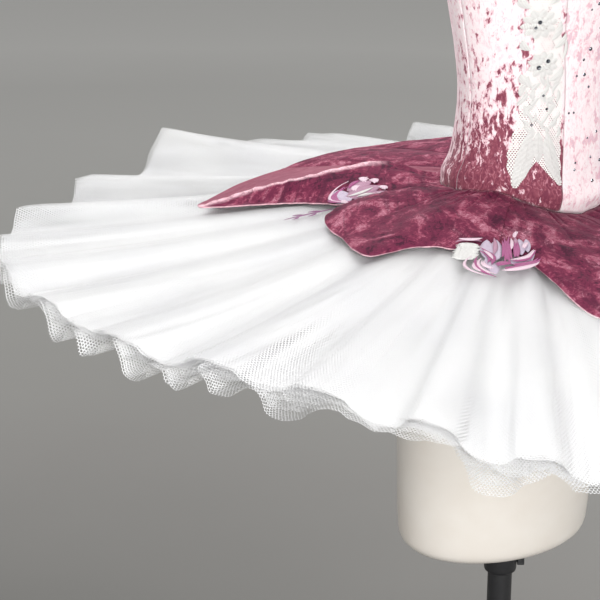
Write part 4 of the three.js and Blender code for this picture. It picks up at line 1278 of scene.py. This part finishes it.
deselectAll()
bpy.ops.mesh.primitive_cylinder_add(vertices=screw["sides"], radius=screw["radius"] * metre,
                                    depth=screw["long"] * metre, location=(screw["out"] * metre, 0, 0),
                                    rotation=(0, math.pi / 2, 0))
knob = bpy.context.object
bpy.ops.object.transform_apply(location=True, rotation=True, scale=True)
for face in knob.data.polygons:  # every other side becomes a grip
    turned = math.degrees(math.atan2(face.normal.z, face.normal.y)) % 360
    face.select = abs(face.normal.x) < 0.5 and int(turned / (360 / screw["sides"])) % 2 == 0
bpy.ops.object.mode_set(mode="EDIT")
bpy.ops.mesh.select_mode(type="FACE")
bpy.ops.mesh.inset(thickness=screw["gripIn"] * metre, depth=-screw["gripDeep"] * metre, use_individual=True)
bpy.ops.mesh.select_mode(type="VERT")
bpy.ops.object.mode_set(mode="OBJECT")
applyModifier(knob, "BEVEL", width=0.3 * metre, segments=2, limit_method="ANGLE")
deselectAll()
bpy.ops.mesh.primitive_cylinder_add(vertices=screw["shankSides"], radius=screw["shank"] * metre,
                                    depth=screw["shankLong"] * metre,
                                    location=(screw["shankOut"] * metre, 0, 0),
                                    rotation=(0, math.pi / 2, 0))
shank = bpy.context.object
bpy.ops.object.transform_apply(location=True, rotation=True, scale=True)
clampScrew = joinAll([knob, shank], "clampScrew")
clampScrew.rotation_euler = (0, 0, math.radians(screw["heading"]))
clampScrew.location = (0, 0, screw["height"] * metre)
selectOnly(clampScrew)
bpy.ops.object.transform_apply(location=True, rotation=True, scale=True)
bpy.ops.object.shade_smooth_by_angle(angle=smoothBelow)
giveMaterial(clampScrew, coat)
settle(clampScrew, "collar", ["clamp_screw"])
print("stand: done")


# Floor, light and camera

# Matt grey floor paint with painted shade: darkest beside the object and paler far away, as the light falls
# off, with a faint cloud.
# From here on, places and distances are in metres, but for the camera's.
floorToneAndShade = {
    "paintedShadeCentre": (-0.5, 0.6, 0), "from": 0.5, "to": 6.0, "cloud": 0.04,
    "tones": [(0.02, "#777673"), (0.14, "#918F8C"), (0.32, "#AFAEAA"), (0.62, "#D9D8D4"), (0.75, "#E1E0DC"),
              (0.88, "#F2F1ED")],
}
floorPaint, floorTree, floorShader = newMaterial("greyFloorWithPaintedShade", Roughness=0.9)
floorPlace = addNode(floorTree, "ShaderNodeTexCoord").outputs["Object"]
floorFar = addNode(floorTree, "ShaderNodeVectorMath", {0: floorPlace, 1: floorToneAndShade["paintedShadeCentre"]},
                   operation="DISTANCE").outputs["Value"]
floorCloud = addNode(floorTree, "ShaderNodeTexNoise", {
    "Vector": floorPlace, "Scale": 1.5, "Detail": 3.0}).outputs["Fac"]
# the painted shade fades with distance from that spot
floorShare = addNode(floorTree, "ShaderNodeMapRange", {
    "Value": floorFar, "From Min": floorToneAndShade["from"], "From Max": floorToneAndShade["to"]}).outputs[0]
floorShare = addNode(floorTree, "ShaderNodeMath", {0: floorCloud, 1: floorToneAndShade["cloud"], 2: floorShare},
                     operation="MULTIPLY_ADD").outputs[0]
floorTree.links.new(rampOf(floorTree, floorShare, floorToneAndShade["tones"]), floorShader.inputs["Base Color"])
deselectAll()
bpy.ops.mesh.primitive_plane_add(size=40)
floor = bpy.context.object
floor.name = "studioFloor"
giveMaterial(floor, floorPaint)

lamps = {
    "keyLight": {"place": (-2.6, -2.2, 2.2), "size": 2.2, "power": 62, "aim": (0, 0, 0.95)},
    "frontLight": {"place": (-1.0, -3.4, 1.6), "size": 1.5, "power": 60, "aim": (0, 0, 0.85)},
    "topLight": {"place": (0.4, 0.8, 3.2), "size": 2.4, "power": 65, "aim": (0, 0, 0.95)},
}
for name, lamp in lamps.items():
    light = bpy.data.lights.new(name, "AREA")
    light.size = lamp["size"]
    light.energy = lamp["power"]
    holder = bpy.data.objects.new(name, light)
    scene.collection.objects.link(holder)
    holder.location = lamp["place"]
    holder.rotation_euler = (Vector(lamp["aim"]) - holder.location).to_track_quat("-Z", "Y").to_euler()

airStrength = 0.32
world = bpy.data.worlds.new("softStudioAir")
scene.world = world
world.use_nodes = True
world.node_tree.nodes["Background"].inputs["Color"].default_value = (1, 1, 1, 1)
world.node_tree.nodes["Background"].inputs["Strength"].default_value = airStrength

view = {"aside": -40, "above": 15.2, "distance": 2200, "heading": -33.3, "pitch": 19.2, "lens": 113.76}
camera = bpy.data.cameras.new("photoView")
camera.lens = view["lens"]
camera.sensor_width = 36
camera.clip_end = 100
cameraHolder = bpy.data.objects.new("photoView", camera)
scene.collection.objects.link(cameraHolder)
aside, above = math.radians(view["aside"]), math.radians(view["above"])
cameraHolder.location = (
    view["distance"] * metre * math.sin(aside) * math.cos(above),
    -view["distance"] * metre * math.cos(aside) * math.cos(above),
    hipHeight * metre + view["distance"] * metre * math.sin(above))
cameraHolder.rotation_euler = (math.radians(90 - view["pitch"]), 0, math.radians(view["heading"]))
scene.camera = cameraHolder
